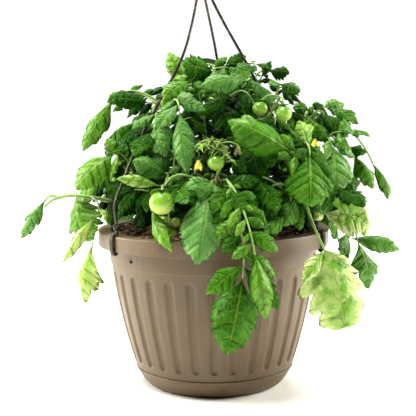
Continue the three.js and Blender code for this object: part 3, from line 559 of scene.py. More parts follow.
# ---------------- materials
class Nodes:
    """Adds nodes to one tree and joins their sockets."""

    def __init__(self, tree: Tree) -> None:
        """Starts on a tree."""
        self.tree = tree

    def fill(self, node: Node, inputs: dict[Any, Any]) -> None:
        """Fills or links the inputs of a node.

        Args:
            node: the node.
            inputs: socket name or number, and a value or a socket.
        """
        for name, value in inputs.items():
            if isinstance(value, Socket):
                self.tree.links.new(value, node.inputs[name])
            else:
                node.inputs[name].default_value = value

    def add(self, kind: str, inputs: dict[Any, Any] | None = None, **settings: Any) -> Node:
        """A node of the kind, its settings made and its inputs filled or linked.

        Args:
            kind: the node's type.
            inputs: socket name or number, and a value or a socket.
            settings: the node's own properties.

        Returns:
            The node.
        """
        node = self.tree.nodes.new(kind)
        for name, value in settings.items():
            setattr(node, name, value)
        self.fill(node, inputs or {})
        return node

    def maths(self, operation: str, a: Any, b: Any = 0.0, c: Any = 0.0, clamp: bool = False) -> Socket:
        """The result of one Math node."""
        made = self.add("ShaderNodeMath", {0: a, 1: b, 2: c}, operation=operation, use_clamp=clamp)
        return made.outputs[0]

    def times(self, a: Any, b: Any, plus: Any = 0.0, clamp: bool = False) -> Socket:
        """a times b, and more where it's given."""
        return self.maths("MULTIPLY_ADD", a, b, plus, clamp)

    def mix(self, share: Any, a: Any, b: Any) -> Socket:
        """Two colours mixed by a share, each a socket or three numbers."""
        a, b = (c if isinstance(c, Socket) else (*c, 1.0) for c in (a, b))
        return self.add("ShaderNodeMix", {0: share, 6: a, 7: b}, data_type="RGBA").outputs[2]

    def fade(self, value: Any, low: Any, high: Any, to_low: float = 0.0, to_high: float = 1.0) -> Socket:
        """A value carried smoothly from one range to another, and held at its ends."""
        made = self.add("ShaderNodeMapRange", {0: value, 1: low, 2: high, 3: to_low, 4: to_high},
                        interpolation_type="SMOOTHSTEP")
        return made.outputs[0]

    def noise(self, place: Socket, scale: Any, detail: float = 2.0, rough: float = 0.5) -> Socket:
        """A noise from 0 to 1 at a place."""
        made = self.add("ShaderNodeTexNoise",
                        {"Vector": place, "Scale": scale, "Detail": detail, "Roughness": rough})
        return made.outputs[0]

    def ramp(self, value: Socket, stops: Sequence[tuple[float, Colour]]) -> Socket:
        """A colour read off a ramp.

        Args:
            value: where it is read, from 0 to 1.
            stops: the places and their colours.

        Returns:
            The colour.
        """
        node = self.add("ShaderNodeValToRGB", {0: value})
        marks = node.color_ramp.elements
        while len(marks) < len(stops):
            marks.new(0.5)
        for mark, (place, colour) in zip(marks, stops):
            mark.position = place
            mark.color = (*colour, 1.0)
        return node.outputs[0]

    def attribute(self, name: str) -> Socket:
        """A number that the mesh carries at each point."""
        return self.add("ShaderNodeAttribute", attribute_name=name).outputs["Fac"]

    def split(self, vector: Socket) -> Sequence[Socket]:
        """The three numbers of a vector."""
        return self.add("ShaderNodeSeparateXYZ", {0: vector}).outputs

    def off_midrib(self, v: Socket) -> Socket:
        """|2 V - 1|: 0 on a blade's midrib and 1 at its margins."""
        return self.maths("ABSOLUTE", self.times(v, 2.0, -1.0))

    def group(self, tree: Tree, **inputs: Any) -> Sequence[Socket]:
        """The outputs of a node group that is given its own values."""
        return self.add("ShaderNodeGroup", inputs, node_tree=tree).outputs


class Effects:
    """Node groups that several finishes share."""

    def __init__(self) -> None:
        """Builds each group once."""
        self.mottle = self._group("mottle", {"Vector": None, "Scale": 40.0, "Low": 0.35, "High": 0.65},
                                  self._mottle)
        self.grain = self._group("grain", {"Vector": None, "Scale": 600.0}, self._grain)
        self.veins = self._group("veins", {"UV": None, "Place": None, "Width": 0.07}, self._veins)

    @staticmethod
    def _group(name: str, inputs: dict[str, float | None],
               recipe: Callable[[Nodes, Any], dict[str, Socket]]) -> Tree:
        """A node group with its sockets.

        Args:
            name: its name.
            inputs: the name and value of each input; one of None is a vector.
            recipe: makes the nodes from the inputs, and gives the outputs by name.

        Returns:
            The group.
        """
        tree = bpy.data.node_groups.new(name, "ShaderNodeTree")
        for label, value in inputs.items():
            kind = "NodeSocketVector" if value is None else "NodeSocketFloat"
            socket = tree.interface.new_socket(name=label, in_out="INPUT", socket_type=kind)
            if value is not None:
                socket.default_value = value
        nodes = Nodes(tree)
        made = recipe(nodes, nodes.add("NodeGroupInput").outputs)
        for label in made:
            tree.interface.new_socket(name=label, in_out="OUTPUT", socket_type="NodeSocketFloat")
        nodes.add("NodeGroupOutput", made)
        return tree

    @staticmethod
    def _mottle(n: Nodes, into: Any) -> dict[str, Socket]:
        """Soft blotches: a noise cut between two levels."""
        noise = n.noise(into["Vector"], into["Scale"], 5.0, 0.6)
        return {"Mask": n.fade(noise, into["Low"], into["High"])}

    @staticmethod
    def _grain(n: Nodes, into: Any) -> dict[str, Socket]:
        """Fine unevenness: a fine noise with a coarser one under it, as a height."""
        fine = n.noise(into["Vector"], into["Scale"], 3.0)
        coarse = n.noise(into["Vector"], n.times(into["Scale"], 0.17))
        return {"Height": n.times(coarse, 0.8, fine)}

    @staticmethod
    def _veins(n: Nodes, into: Any) -> dict[str, Socket]:
        """Veins of a blade. U counts its side veins and V runs across it: the midrib lies at V = 0.5 and
        a side vein near each whole U, shifted a little by a noise.

        Args:
            n: the group's nodes.
            into: its inputs.

        Returns:
            Vein is the veins' mask, Relief their height with the cells between them, Groove the wider
            hollow along each, and Net the veinlets.
        """
        place = into["Place"]
        u, v = n.split(into["UV"])[:2]
        across = n.off_midrib(v)
        shifted = n.times(n.noise(place, 60.0, 1.0), 0.7, n.maths("ADD", u, 0.15))
        gap = n.maths("ABSOLUTE", n.maths("SUBTRACT", n.maths("FRACT", shifted), 0.5))
        width = n.times(into["Width"], n.times(across, -0.7, 1.0))
        side = n.maths("SUBTRACT", 1.0, n.maths("DIVIDE", gap, width), clamp=True)
        vein = n.maths("MAXIMUM", side, n.fade(across, 0.02, 0.075, 1.0, 0.0))
        edge = n.add("ShaderNodeTexVoronoi", {"Vector": place, "Scale": 150.0},
                     feature="DISTANCE_TO_EDGE").outputs["Distance"]
        cells = n.fade(edge, 0.0, 0.3, 0.0, 0.5)
        uneven = n.fade(n.noise(place, 75.0), 0.3, 0.62)
        lines = n.maths("MAXIMUM", n.fade(gap, 0.02, 0.2, 1.0, 0.0), n.fade(across, 0.02, 0.13, 1.0, 0.0))
        groove = n.times(lines, uneven)
        relief = n.times(groove, -1.0, n.times(vein, -0.6, cells))
        return {"Vein": vein, "Relief": relief, "Groove": groove, "Net": n.fade(edge, 0.0, 0.13, 1.0, 0.0)}


class Surface(Nodes):
    """The nodes of one material: a Principled shader and the output that it goes to."""

    def __init__(self, name: str, effects: Effects) -> None:
        """Starts a new material of this name, which may use the effects."""
        self.effects = effects
        self.material = bpy.data.materials.new(name)
        self.material.use_nodes = True
        self.material.node_tree.nodes.clear()
        super().__init__(self.material.node_tree)
        self.shader = self.add("ShaderNodeBsdfPrincipled")
        self.output = self.add("ShaderNodeOutputMaterial", {"Surface": self.shader.outputs[0]})
        self.at = self.add("ShaderNodeTexCoord").outputs["Object"]  # in metres

    def mottle(self, scale: float, low: float, high: float, place: Socket | None = None) -> Socket:
        """The mask of soft blotches, at this place or at the object's own."""
        return self.group(self.effects.mottle, Vector=place or self.at, Scale=scale, Low=low, High=high)[0]

    def grain(self, scale: float) -> Socket:
        """The height of a fine unevenness."""
        return self.group(self.effects.grain, Vector=self.at, Scale=scale)[0]

    def dress(self, colour: Socket, rough: Any, height: Socket, depth: float, distance: float = 0.0005,
              more: dict[str, Any] | None = None) -> Socket:
        """Feeds the shader its colour, roughness and bump.

        Args:
            colour, rough, height: what it reads.
            depth: the bump's strength.
            distance: the bump's distance, in metres.
            more: what its other sockets are given.

        Returns:
            The bump's normal.
        """
        bump = self.add("ShaderNodeBump", {"Height": height, "Strength": depth, "Distance": distance})
        fed = {"Base Color": colour, "Roughness": rough, "Normal": bump.outputs[0]}
        self.fill(self.shader, {**fed, **(more or {})})
        return bump.outputs[0]

    def let_through(self, share: float, **inputs: Socket) -> None:
        """Mixes a share of light that comes through from behind into the shader.

        Args:
            share: how much.
            inputs: the colour, and the normal where it has one.
        """
        back = self.add("ShaderNodeBsdfTranslucent", inputs)
        both = self.add("ShaderNodeMixShader", {0: share, 1: self.shader.outputs[0], 2: back.outputs[0]})
        self.fill(self.output, {"Surface": both.outputs[0]})


@dataclass(frozen=True)
class BasketPlastic:
    """Moulded taupe plastic: soft sheen, faint streaks of the flow and a dusting near the rim. Where pale
    is high it's the shade inside a small hole."""

    colour: Colour = (0.100, 0.070, 0.038)
    light: Colour = (0.128, 0.092, 0.053)
    dark: Colour = (0.066, 0.046, 0.025)
    dust: Colour = (0.27, 0.22, 0.16)
    hole: Colour = (0.012, 0.009, 0.006)

    def make(self, effects: Effects) -> Material:
        """The material."""
        n = Surface("basket_plastic", effects)
        blotch = n.mottle(18.0, 0.35, 0.7)
        stretch = n.add("ShaderNodeMapping", {"Vector": n.at, "Scale": (1.0, 1.0, 0.12)}).outputs[0]
        streak = n.mottle(150.0, 0.4, 0.75, stretch)
        speck = n.mottle(520.0, 0.62, 0.72)
        colour = n.mix(n.times(blotch, 0.55), self.colour, self.light)
        colour = n.mix(n.times(streak, 0.35), colour, self.dark)
        near_rim = n.fade(n.split(n.at)[2], 0.135, 0.172)
        colour = n.mix(n.times(n.times(near_rim, 0.3, 0.12), speck), colour, self.dust)
        colour = n.mix(n.attribute("pale"), colour, self.hole)
        n.dress(colour, n.fade(blotch, 0.0, 1.0, 0.4, 0.52), n.grain(900.0), 0.12,
                more={"Specular IOR Level": 0.45})
        return n.material


@dataclass(frozen=True)
class CoatedWire:
    """Wire with a dark brown coat, rubbed grey in places."""

    colour: Colour = (0.026, 0.020, 0.015)
    worn: Colour = (0.17, 0.15, 0.125)

    def make(self, effects: Effects) -> Material:
        """The material."""
        n = Surface("coated_wire", effects)
        rubbed = n.mottle(120.0, 0.5, 0.72)
        colour = n.mix(n.times(rubbed, 0.6), self.colour, self.worn)
        n.dress(colour, n.fade(rubbed, 0, 1, 0.3, 0.5), n.grain(1500.0), 0.15, 0.0002)
        return n.material


@dataclass(frozen=True)
class PottingSoil:
    """Damp dark compost with bark chips; pale is how much a bit is perlite."""

    dark: Colour = (0.020, 0.011, 0.006)
    bark: Colour = (0.58, 0.38, 0.22)
    perlite: Colour = (0.75, 0.7, 0.6)

    def make(self, effects: Effects) -> Material:
        """The material."""
        n = Surface("potting_soil", effects)
        clod = n.mottle(240.0, 0.35, 0.7)
        shade = n.times(n.attribute("tint"), n.times(clod, 0.6, 0.5), clamp=True)
        colour = n.mix(shade, self.dark, self.bark)
        colour = n.mix(n.attribute("pale"), colour, self.perlite)
        n.dress(colour, n.fade(clod, 0, 1, 0.8, 0.95), n.grain(1100.0), 0.8, 0.001)
        return n.material


@dataclass(frozen=True)
class LeafSkin:
    """A thin green blade: pale veins, a puckered net between them, a greyer underside, and light that
    comes through it. A dark blade shows less of its veins and of its underside's grey. Painted shade
    darkens the hollow along each vein, and a minty upper face wears the underside's grey as a painted sheen."""

    # Painted shade at the low end: the ramp runs from a near-black shade green, for leaves in shade, up to a
    # bright yellow green.
    shades: tuple[tuple[float, Colour], ...] = (
        (0.0, (0.000, 0.016, 0.000)), (0.25, (0.008, 0.070, 0.000)), (0.45, (0.055, 0.194, 0.006)),
        (0.7, (0.200, 0.410, 0.050)), (1.0, (0.400, 0.600, 0.120)))
    spot: Colour = (0.01, 0.06, 0.004)
    # Painted shade for the hollow along each vein.
    groove: Colour = (0.004, 0.02, 0.003)
    vein: Colour = (0.32, 0.50, 0.08)
    # The underside's greyer green, which a minty upper face also wears as a painted sheen.
    under: Colour = (0.18, 0.38, 0.15)
    bleach: Colour = (0.74, 0.80, 0.40)
    through: Colour = (0.24, 0.60, 0.008)

    def make(self, effects: Effects) -> Material:
        """The material."""
        n = Surface("leaf_skin", effects)
        uv, pale = n.add("ShaderNodeUVMap", uv_map="UVMap").outputs[0], n.attribute("pale")
        vein, relief, groove, net = n.group(effects.veins, UV=uv, Place=n.at)
        patch = n.mottle(55.0, 0.3, 0.7)
        tint = n.times(patch, 0.12, n.maths("SUBTRACT", n.attribute("tint"), 0.06), clamp=True)
        spot = n.mottle(190.0, 0.4, 0.6)
        colour = n.mix(n.times(spot, 0.1), n.ramp(tint, self.shades), self.spot)
        streaked = n.mottle(85.0, 0.42, 0.56)
        margin = n.times(n.fade(n.off_midrib(n.split(uv)[1]), 0.35, 0.95), 0.9, n.times(streaked, 0.5))
        colour = n.mix(n.times(pale, margin, clamp=True), colour, self.bleach)
        lit = n.fade(tint, 0.05, 0.45, 0.25, 1.0)
        # The underside's grey, and on a minty upper face the same grey as a painted sheen.
        colour = n.mix(n.times(n.times(n.attribute("under"), lit), 0.6), colour, self.under)
        # Painted shade: darker along the hollow by each vein, less so on a pale blade.
        shaded = n.times(groove, n.times(pale, -0.3, 0.38))
        colour = n.mix(shaded, colour, n.mix(0.65, colour, self.groove))
        for lines, share in ((vein, 0.4), (net, 0.12)):
            colour = n.mix(n.times(n.times(lines, lit), share), colour, self.vein)
        normal = n.dress(colour, n.fade(relief, -1.0, 1.0, 0.38, 0.55), relief, 1.0, 0.0011,
                         {"Coat Weight": n.fade(tint, 0.25, 0.6, 0.0, 0.4), "Coat Roughness": 0.38,
                          "Specular IOR Level": 0.08})
        n.let_through(0.22, Color=n.mix(0.4, colour, self.through), Normal=normal)
        return n.material


@dataclass(frozen=True)
class StemSkin:
    """A downy green stem, paler in places and browner where it is old."""

    green: Colour = (0.125, 0.245, 0.035)
    pale: Colour = (0.26, 0.40, 0.09)
    brown: Colour = (0.20, 0.13, 0.045)

    def make(self, effects: Effects) -> Material:
        """The material."""
        n = Surface("stem_skin", effects)
        patch = n.mottle(90.0, 0.35, 0.7)
        colour = n.mix(n.times(patch, 0.6), self.green, self.pale)
        old = n.fade(n.attribute("tint"), 0.3, 0.0)
        colour = n.mix(n.times(old, 0.6), colour, self.brown)
        n.dress(colour, n.fade(patch, 0, 1, 0.5, 0.65), n.grain(2200.0), 0.5, 0.0003,
                {"Sheen Weight": 0.3})
        return n.material


@dataclass(frozen=True)
class FruitSkin:
    """A green tomato: a greener shoulder, a pale blush below, faint specks and a clear shine."""

    shoulder: Colour = (0.09, 0.24, 0.015)
    side: Colour = (0.22, 0.40, 0.045)
    blush: Colour = (0.42, 0.46, 0.15)
    speck: Colour = (0.6, 0.72, 0.35)

    def make(self, effects: Effects) -> Material:
        """The material."""
        n = Surface("fruit_skin", effects)
        patch = n.mottle(110.0, 0.3, 0.75)
        speck = n.mottle(700.0, 0.6, 0.7)
        level = n.times(patch, 0.25, n.maths("SUBTRACT", n.attribute("tint"), 0.12), clamp=True)
        colour = n.ramp(level, ((0.0, self.blush), (0.45, self.side), (1.0, self.shoulder)))
        colour = n.mix(n.times(speck, 0.2), colour, self.speck)
        n.dress(colour, n.fade(speck, 0, 1, 0.3, 0.4), n.grain(500.0), 0.04,
                more={"Subsurface Weight": 0.15, "Subsurface Scale": 0.004,
                      "Subsurface Radius": (0.6, 1.0, 0.3)})
        return n.material


@dataclass(frozen=True)
class Petal:
    """Yellow petals that fade to dry orange-brown where pale is high, with a faint painted glow in their own
    colour.
    """

    yellow: Colour = (0.95, 0.93, 0.22)
    deep: Colour = (0.93, 0.84, 0.10)
    dry: Colour = (0.36, 0.16, 0.035)

    def make(self, effects: Effects) -> Material:
        """The material."""
        n = Surface("petal", effects)
        patch = n.mottle(300.0, 0.35, 0.7)
        colour = n.mix(n.times(patch, 0.5), self.yellow, self.deep)
        colour = n.mix(n.attribute("pale"), colour, self.dry)
        # Painted light: the petals glow faintly in their own colour, so that they look lit in the shade of
        # the leaves.
        n.dress(colour, n.fade(patch, 0, 1, 0.45, 0.6), n.grain(1800.0), 0.3, 0.0002,
                {"Emission Color": colour, "Emission Strength": 0.22})
        n.let_through(0.3, Color=colour)
        return n.material


# ---------------- basket, saucer, soil
@dataclass
class Basket:
    """The fluted basket with its plain band and the rim with its turned-down skirt."""

    ledge: float = 20.9
    band: float = 137.0
    step: float = 0.9
    neck: tuple[float, float] = (115.2, 160.0)  # radius and height at which the band ends
    rim: float = 127.0
    top: float = 172.0
    skirt: tuple[float, float] = (155.5, 1.6)  # height of its edge, thickness
    floor: tuple[float, float] = (2.7, 4.9)
    wall: float = 4.0
    elbow: float = 78.0  # height of the corner in the inner wall
    flare: Place = (87.6, 37.6, -12.0)
    flutes: int = 30
    flute: tuple[float, float, float, float] = (29.0, 129.0, 2.3, 2.5)  # low, high, depth, half (degrees)
    hole: Place = (1.6, 146.0, 3.2)  # radius, height, depth
    hole_turns: Place = (-48.0, 69.5, 182.0)
    per_flute: int = 20

    def radius(self, z: Any) -> Any:
        """Outer radius of the wall: a + b t + c t t, with t from the ledge to the band."""
        t = (np.asarray(z, float) - self.ledge) / (self.band - self.ledge)
        a, b, c = self.flare
        return a + b * t + c * t * t

    def inside(self, z: float, gap: float = 0.0) -> float:
        """Inner radius of the wall at a height, less a gap."""
        return float(self.radius(z)) - (gap + self.wall)

    def profile(self) -> tuple[Array, Array]:
        """The closed outline and which of its points lie on the fluted wall. Its rows stand closer where
        the flutes end and at the small holes.

        Returns:
            The points (radius, height), and a mask of the fluted ones.
        """
        low, high = self.floor
        lip, plate, inner = self.ledge + 1.5, self.top - 1.8, self.rim - self.skirt[1]
        rows = np.concatenate([np.linspace(lip, 27, 4), np.linspace(27.6, 36, 13), np.linspace(39, 120, 22),
                               np.linspace(121.5, 131.5, 15), [133.5, 135.8]])
        wall = np.stack([self.radius(rows), rows], axis=1)
        foot = rounded([(0, low, 0), (74, low, 1.2), (85.1, self.ledge, 0.4),
                        (self.radius(self.ledge), self.ledge, 0.8), (self.radius(lip), lip, 0)])[:-1]
        edge, (neck, neck_z) = float(self.radius(self.band)), self.neck
        out, rise = edge + self.step, neck_z - self.band
        band = [(lerp(out, neck, (z - self.band) / rise), z, 0) for z in np.linspace(143, 149, 16)]
        upper = rounded([
            (*wall[-1], 0), (edge, self.band - 0.5, 0.3), (out, self.band + 0.1, 0.4), *band,
            (neck, neck_z, 0), (115.6, plate, 1.2), (inner, plate, 1.0), (inner, self.skirt[0], 0.5),
            (self.rim, self.skirt[0], 0.6), (self.rim, self.top, 1.6), (113, self.top, 1.0),
            (111.4, SOIL_EDGE - 4, 0), (self.inside(self.band), self.band, 0.5),
            (self.inside(self.elbow), self.elbow, 0), (self.inside(self.ledge), self.ledge, 2),
            (73.2, high, 2), (0, high, 0)])[1:]
        points = np.vstack([foot, wall, upper])
        mask = np.zeros(len(points), bool)
        mask[len(foot):len(foot) + len(wall)] = True
        return points, mask

    def pressed(self, points: Array, mask: Array, sides: int) -> tuple[Array, Array]:
        """How far each point is pressed in. A flute presses depth (1 - q^2)^0.55, with q the distance from
        its middle line over its half width, measured round its rounded ends.

        Args:
            points: the outline, (n, 2).
            mask: which of its points lie on the fluted wall.
            sides: points round it.

        Returns:
            The depth at each point, and how much of it belongs to a small hole, both (n - 2, sides).
        """
        low, high, depth, half = self.flute
        size, height, deep = self.hole
        r, z = points[1:-1, :1], points[1:-1, 1:]
        pitch = 2 * math.pi / self.flutes
        off = (circle(sides) + pitch / 2) % pitch - pitch / 2
        reach = r * math.radians(half)
        past = np.maximum(0, np.maximum(z - (high - reach), (low + reach) - z))
        q = np.hypot(r * off[None, :], past) / reach
        flutes = np.where(mask[1:-1, None], depth * np.clip(1 - q * q, 0, 1) ** 0.55, 0.0)
        turn = np.linspace(0, 360, sides, endpoint=False)[None, :]
        off = np.min([np.abs((turn - at + 180) % 360 - 180) for at in self.hole_turns], axis=0)
        away = np.hypot(r * np.radians(off), z - height)
        outside = r > self.radius(self.band) - 1.0
        holes = np.where(outside, np.clip((size + 0.5 - away) / 0.6, 0, 1), 0.0)
        return flutes + holes * deep, holes

    def build(self, finish: Material) -> Object:
        """The basket's piece."""
        points, mask = self.profile()
        sides = self.flutes * self.per_flute
        piece = Piece("basket", "basket_plastic", [finish])
        press, holes = self.pressed(points, mask, sides)
        piece.add(turned(points, sides, press=press, pale=holes))
        return piece.build()


@dataclass
class Saucer:
    """The saucer that is clipped under the basket."""

    foot: float = 73.0
    rim: float = 88.0
    high: float = 20.5
    wall: float = 1.5
    floor: float = 2.4

    def build(self, finish: Material) -> Object:
        """The saucer's piece: its outline turned about the axis."""
        profile = rounded([
            (0, 0.9, 0), (self.foot - 6, 0.9, 0.3), (self.foot - 5, 0, 0.4), (self.foot, 0, 1.5),
            (77.6, 3.4, 3), (83.4, 12, 4), (self.rim, self.high - 0.6, 0.5), (self.rim - 0.4, self.high, 0.3),
            (self.rim - self.wall, self.high, 0.4), (81.8, 12, 3), (76, 3.4, 1.5), (74.8, self.floor, 0.8),
            (0, self.floor, 0)], 5)
        piece = Piece("saucer", "basket_plastic", [finish])
        piece.add(turned(profile, 240))
        return piece.build()


@dataclass
class Soil:
    """The compost: a low mound with crumbs, bark chips and bits of perlite."""

    gap: float = 0.3
    rows: int = 42
    chips: int = 1300
    bits: int = 150
    strewn: float = 108.0  # how far out the bits lie
    seed: int = 7

    def height(self, x: Array, y: Array) -> Array:
        """Height of the mound with five crossed waves as crumbs, which fade to its edge.

        Args:
            x, y: the places.

        Returns:
            The height at each.
        """
        r = np.hypot(x, y)
        crumbs = sum(np.sin(x * math.cos(k * 2.1) * (0.18 + 0.07 * k)
                            + y * math.sin(k * 2.1) * (0.2 + 0.06 * k) + k) for k in range(1, 6))
        return mound(r) + 0.75 * crumbs * np.minimum(1, (SOIL_MOUTH - r) / 18 + 0.15)

    def bulk(self, basket: Basket) -> Patch:
        """The whole body of compost, its side against the basket's inside."""
        corners = ((basket.ledge, 1), (basket.elbow, 0), (basket.band, 0.5))
        walls = [(basket.inside(z, self.gap), z, r) for z, r in corners]
        side = rounded([(0, 5.3, 0), (72.6, 5.3, 1), *walls, (SOIL_MOUTH, SOIL_EDGE - 4, 0),
                        (SOIL_MOUTH, SOIL_EDGE, 0.4), (0, SOIL_EDGE, 0)])
        radii = np.linspace(SOIL_MOUTH - 2.5, 2.5, self.rows)
        level = np.stack([radii, np.full(self.rows, SOIL_EDGE)], 1)
        patch = turned(np.vstack([side[:-1], level, [[0, SOIL_MIDDLE]]]), 200)
        on_top = patch.points[:, 2] >= SOIL_EDGE - 0.01
        patch.points[on_top, 2] = self.height(*patch.points[on_top, :2].T)
        patch.tint = 0.25 + 0.2 * np.sin(patch.points[:, 0] * 0.9) * np.sin(patch.points[:, 1] * 1.1)
        return patch

    def litter(self, count: int, size: tuple[float, float], slim: float, pale: float, seed: int) -> Patch:
        """Bits that lie on the mound: each three uneven rings of five points, flat and turned at random.

        Args:
            count: how many.
            size: least and greatest length.
            slim: width and thickness as a share of the length.
            pale: how much of it is perlite.
            seed: the draw's seed.

        Returns:
            All of the bits as one surface.
        """
        draw = np.random.default_rng(seed)
        r = self.strewn * np.sqrt(draw.uniform(0.01, 1, count))
        turn, yaw = draw.uniform(0, 2 * math.pi, (2, count))
        x, y = r * np.sin(turn), -r * np.cos(turn)
        long = draw.uniform(*size, count)
        a, grid = circle(5), (count, 3, 5)
        out = np.array([-0.35, 0.0, 0.35])[:, None] + draw.uniform(-0.08, 0.08, grid)
        wide = slim * draw.uniform(0.7, 1.3, grid) * np.array([0.8, 1.0, 0.75])[:, None]
        rings = np.stack([out, wide * np.cos(a) * 0.5, wide * np.sin(a) * 0.32], -1)
        ends = np.broadcast_to([[-0.5, 0, 0], [0.5, 0, 0]], (count, 2, 3))
        shape = np.concatenate([rings.reshape(count, 15, 3), ends], axis=1) * long[:, None, None]

        def swung(p: Array, q: Array, by: Array) -> tuple[Array, Array]:
            """Two coordinates of each bit turned by its own angle: p c - q s and p s + q c."""
            c, s = np.cos(by)[:, None], np.sin(by)[:, None]
            return p * c - q * s, p * s + q * c

        out, up = swung(shape[..., 0], shape[..., 2], draw.uniform(-0.5, 0.5, count))
        out, along_y = swung(out, shape[..., 1], yaw)
        lift = (self.height(x, y) + 0.7)[:, None]
        placed = np.stack([out + x[:, None], along_y + y[:, None], up + lift], -1)
        tint = np.broadcast_to((draw.uniform(0.1, 1.0, count) ** 1.6)[:, None, None], grid)
        return sleeve(placed[:, :15].reshape(*grid, 3), placed[:, 15], placed[:, 16], tint=tint, pale=pale)

    def build(self, basket: Basket, finish: Material) -> Object:
        """The soil's piece."""
        piece = Piece("soil", "potting_soil", [finish])
        piece.add(self.bulk(basket), self.litter(self.chips, (3.5, 11.0), 0.4, 0.0, self.seed),
                  self.litter(self.bits, (1.8, 3.6), 0.9, 1.0, self.seed + 1))
        return piece.build()


# ---------------- hanger
@dataclass
class Hanger:
    """Three wires that clip over the rim in a hairpin, the ferrule that gathers them and the hook."""

    wire: float = 1.3
    coat: float = 0.25
    gap: float = 0.3
    hook: float = 1.6
    bend: float = 15.0
    x: float = -11.0
    low: float = 440.0
    ferrule: tuple[float, float] = (12.0, 4.2)
    middle: float = 482.0
    spread: float = 2.6
    pair: float = 3.1  # from one strand of the hairpin to the other

    bends: int = 7  # the points of the clip, before the wire goes up
    basket: Basket = field(default_factory=Basket)

    def way(self, turn: float, points: Sequence[Place]) -> Array:
        """The middle line of a wire: under the skirt, over the rim and up to the ferrule.

        Args:
            turn: the azimuth of its clip.
            points: the points that it passes, as seen.

        Returns:
            The line, whose first points are the clip's.
        """
        basket, off = self.basket, self.wire + self.gap
        out, back = basket.rim + off, basket.rim - basket.skirt[1] - off
        top, under = basket.top + off, basket.skirt[0] - off
        clip = [(back, basket.top - 10), (back, under + 1.2), ((back + out) / 2, under - 1.2),
                (out, under + 1.2), (out, basket.top - 2), (out - 1.2, top - 0.3), (out - 4.5, top)]
        end = around(turn, self.spread, self.low - self.gap - self.wire / 2) + np.array([self.x, 0, 0])
        curve = smooth_line(np.array([around(turn, out - 6.5, top + 4), *map(seen, points), end]), 12)
        return np.vstack([[around(turn, r, z) for r, z in clip], even(curve, 12)])

    def build_wire(self, name: str, turn: float, points: Sequence[Place], finish: Material) -> Object:
        """One wire's piece, with the second strand of its hairpin and the turns that tie it off.

        Args:
            name: which wire.
            turn, points: as for its way.
            finish: what it wears.

        Returns:
            The piece.
        """
        way = self.way(turn, points)
        foot, above = way[self.bends:self.bends + 2]
        a = math.radians(turn)
        shift = np.array([math.cos(a), math.sin(a), 0.0]) * self.pair
        second = way[:self.bends][::-1] + shift
        bight = way[0] + shift * 0.5 + UP * 1.6
        tail = lerp(second[0], foot, 0.5) + shift * 0.35 + UP * 1.2
        line = smooth_line(np.vstack([tail, second, bight, way]), 6)
        axis = unit(above - foot)
        side = unit(np.cross(axis, UP))
        over = np.cross(axis, side)
        turns = np.linspace(0, 2 * math.pi * 2.2, 40)[:, None]
        coil = (foot + axis * (0.5 + turns * 0.36)
                + (self.wire * 1.9) * (np.cos(turns) * side + np.sin(turns) * over))
        piece = Piece(f"hanger_wire_{name}", "coated_wire", [finish])
        piece.add(tube(line, self.wire + self.coat, 12), tube(coil, self.wire * 0.75, 8))
        return piece.build()

    def build_hook(self, finish: Material) -> Object:
        """The hook's piece: the ferrule with a bead at each end, and the bent hook above it."""
        (long, r), z = self.ferrule, self.low
        end = z + long
        profile = rounded([(0, z, 0), (r - 0.5, z, 0.3), (r, z + 0.5, 0.4), (r, z + 2, 0.4),
                           (r - 0.5, z + 2.5, 0.4), (r - 0.5, end - 2.5, 0.4), (r, end - 2, 0.4),
                           (r, end - 0.5, 0.4), (r - 0.6, end, 0.4), (0, end, 0)])
        body = turned(profile, 40)
        body.points[:, 0] += self.x
        a = np.radians(np.linspace(-90, 150, 60))
        arc = np.stack([np.cos(a) * self.bend + self.x, np.zeros_like(a),
                        np.sin(a) * self.bend + self.middle], 1)
        start = np.array([[self.x, 0, end - 2], [self.x, 0, end + 3], [self.x - 0.2, 0, 462.5]])
        last = np.array([[self.x - self.bend, 0, self.middle - 2]])
        line = even(smooth_line(np.vstack([start, arc[3::4], last]), 6), 90)
        piece = Piece("hanger_hook", "coated_wire", [finish])
        piece.add(body, tube(line, self.hook, 16))
        return piece.build()


# ---------------- blades
LAST_RING = 0.985  # how far along a blade its last ring lies
THINNEST = 0.55  # least half width of a blade
# The midrib: how deep (of the half width) and wide the valley on top is, how high and wide the ridge
# below.
VALLEY, RIDGE = (0.05, 0.16), (0.55, 0.14)
# The plant's middle and half size, how far out (of that size) it's open to the light, and how much
# darker a blade at its middle is: painted shade, as the outer leaves shade the inner ones.
CROWN_MIDDLE, CROWN_SIZE = np.array([0.0, 0.0, 190.0]), np.array([130.0, 130.0, 150.0])
OPEN_FROM, INNER_SHADE = 0.9, 0.55


@dataclass(frozen=True)
class Form:
    """How a blade is cut: its outline, its lobes and its veins.

    outline is the share of half its width at places along it. lobes are counted along each side,
    notch is how deep the gaps between them go, and saw is the finer cut of the lobes. sweep is how far
    the sides run ahead of the midrib, and relief how high it puckers between the veins.
    """

    outline: tuple[tuple[float, float], ...]
    stations: int
    across: int = 5
    lobes: float = 0.0
    notch: float = 0.0
    saw: float = 0.0
    sweep: float = 0.0
    relief: float = 0.0
    thick: float = 0.35

    def cut(self, s: Array, hand: Array, much: float, key: float) -> tuple[Array, Array, Array]:
        """The outline with its lobes, whose gaps get shallower to the tip, and its teeth.

        Args:
            s: places along the blade, (n, 1).
            hand: 0 on one side of the midrib and 1 on the other, (1, m).
            much: how much of the lobes it has.
            key: picks its own unevenness.

        Returns:
            The lobes counted up to each point, how far each stands out of its gap, and the share of
            half the width.
        """
        first, second, left, right = (chance(key + 0.11 * k) for k in range(4))
        phase = self.lobes * s + lerp(first, second, hand) * 0.8
        lobe = np.sin(math.pi * np.mod(phase, 1.0) ** 1.4) ** 0.6
        tooth = np.abs(np.sin(math.pi * 3 * phase))
        notch = self.notch * much * np.clip((0.95 - s) / 0.35, 0.2, 1)
        share = np.interp(s, *zip(*self.outline)) * (1 - notch * (1 - lobe)) * (1 - self.saw * (1 - tooth))
        return phase, lobe, share * (1 + 0.1 * (lerp(left, right, hand) - 0.5))


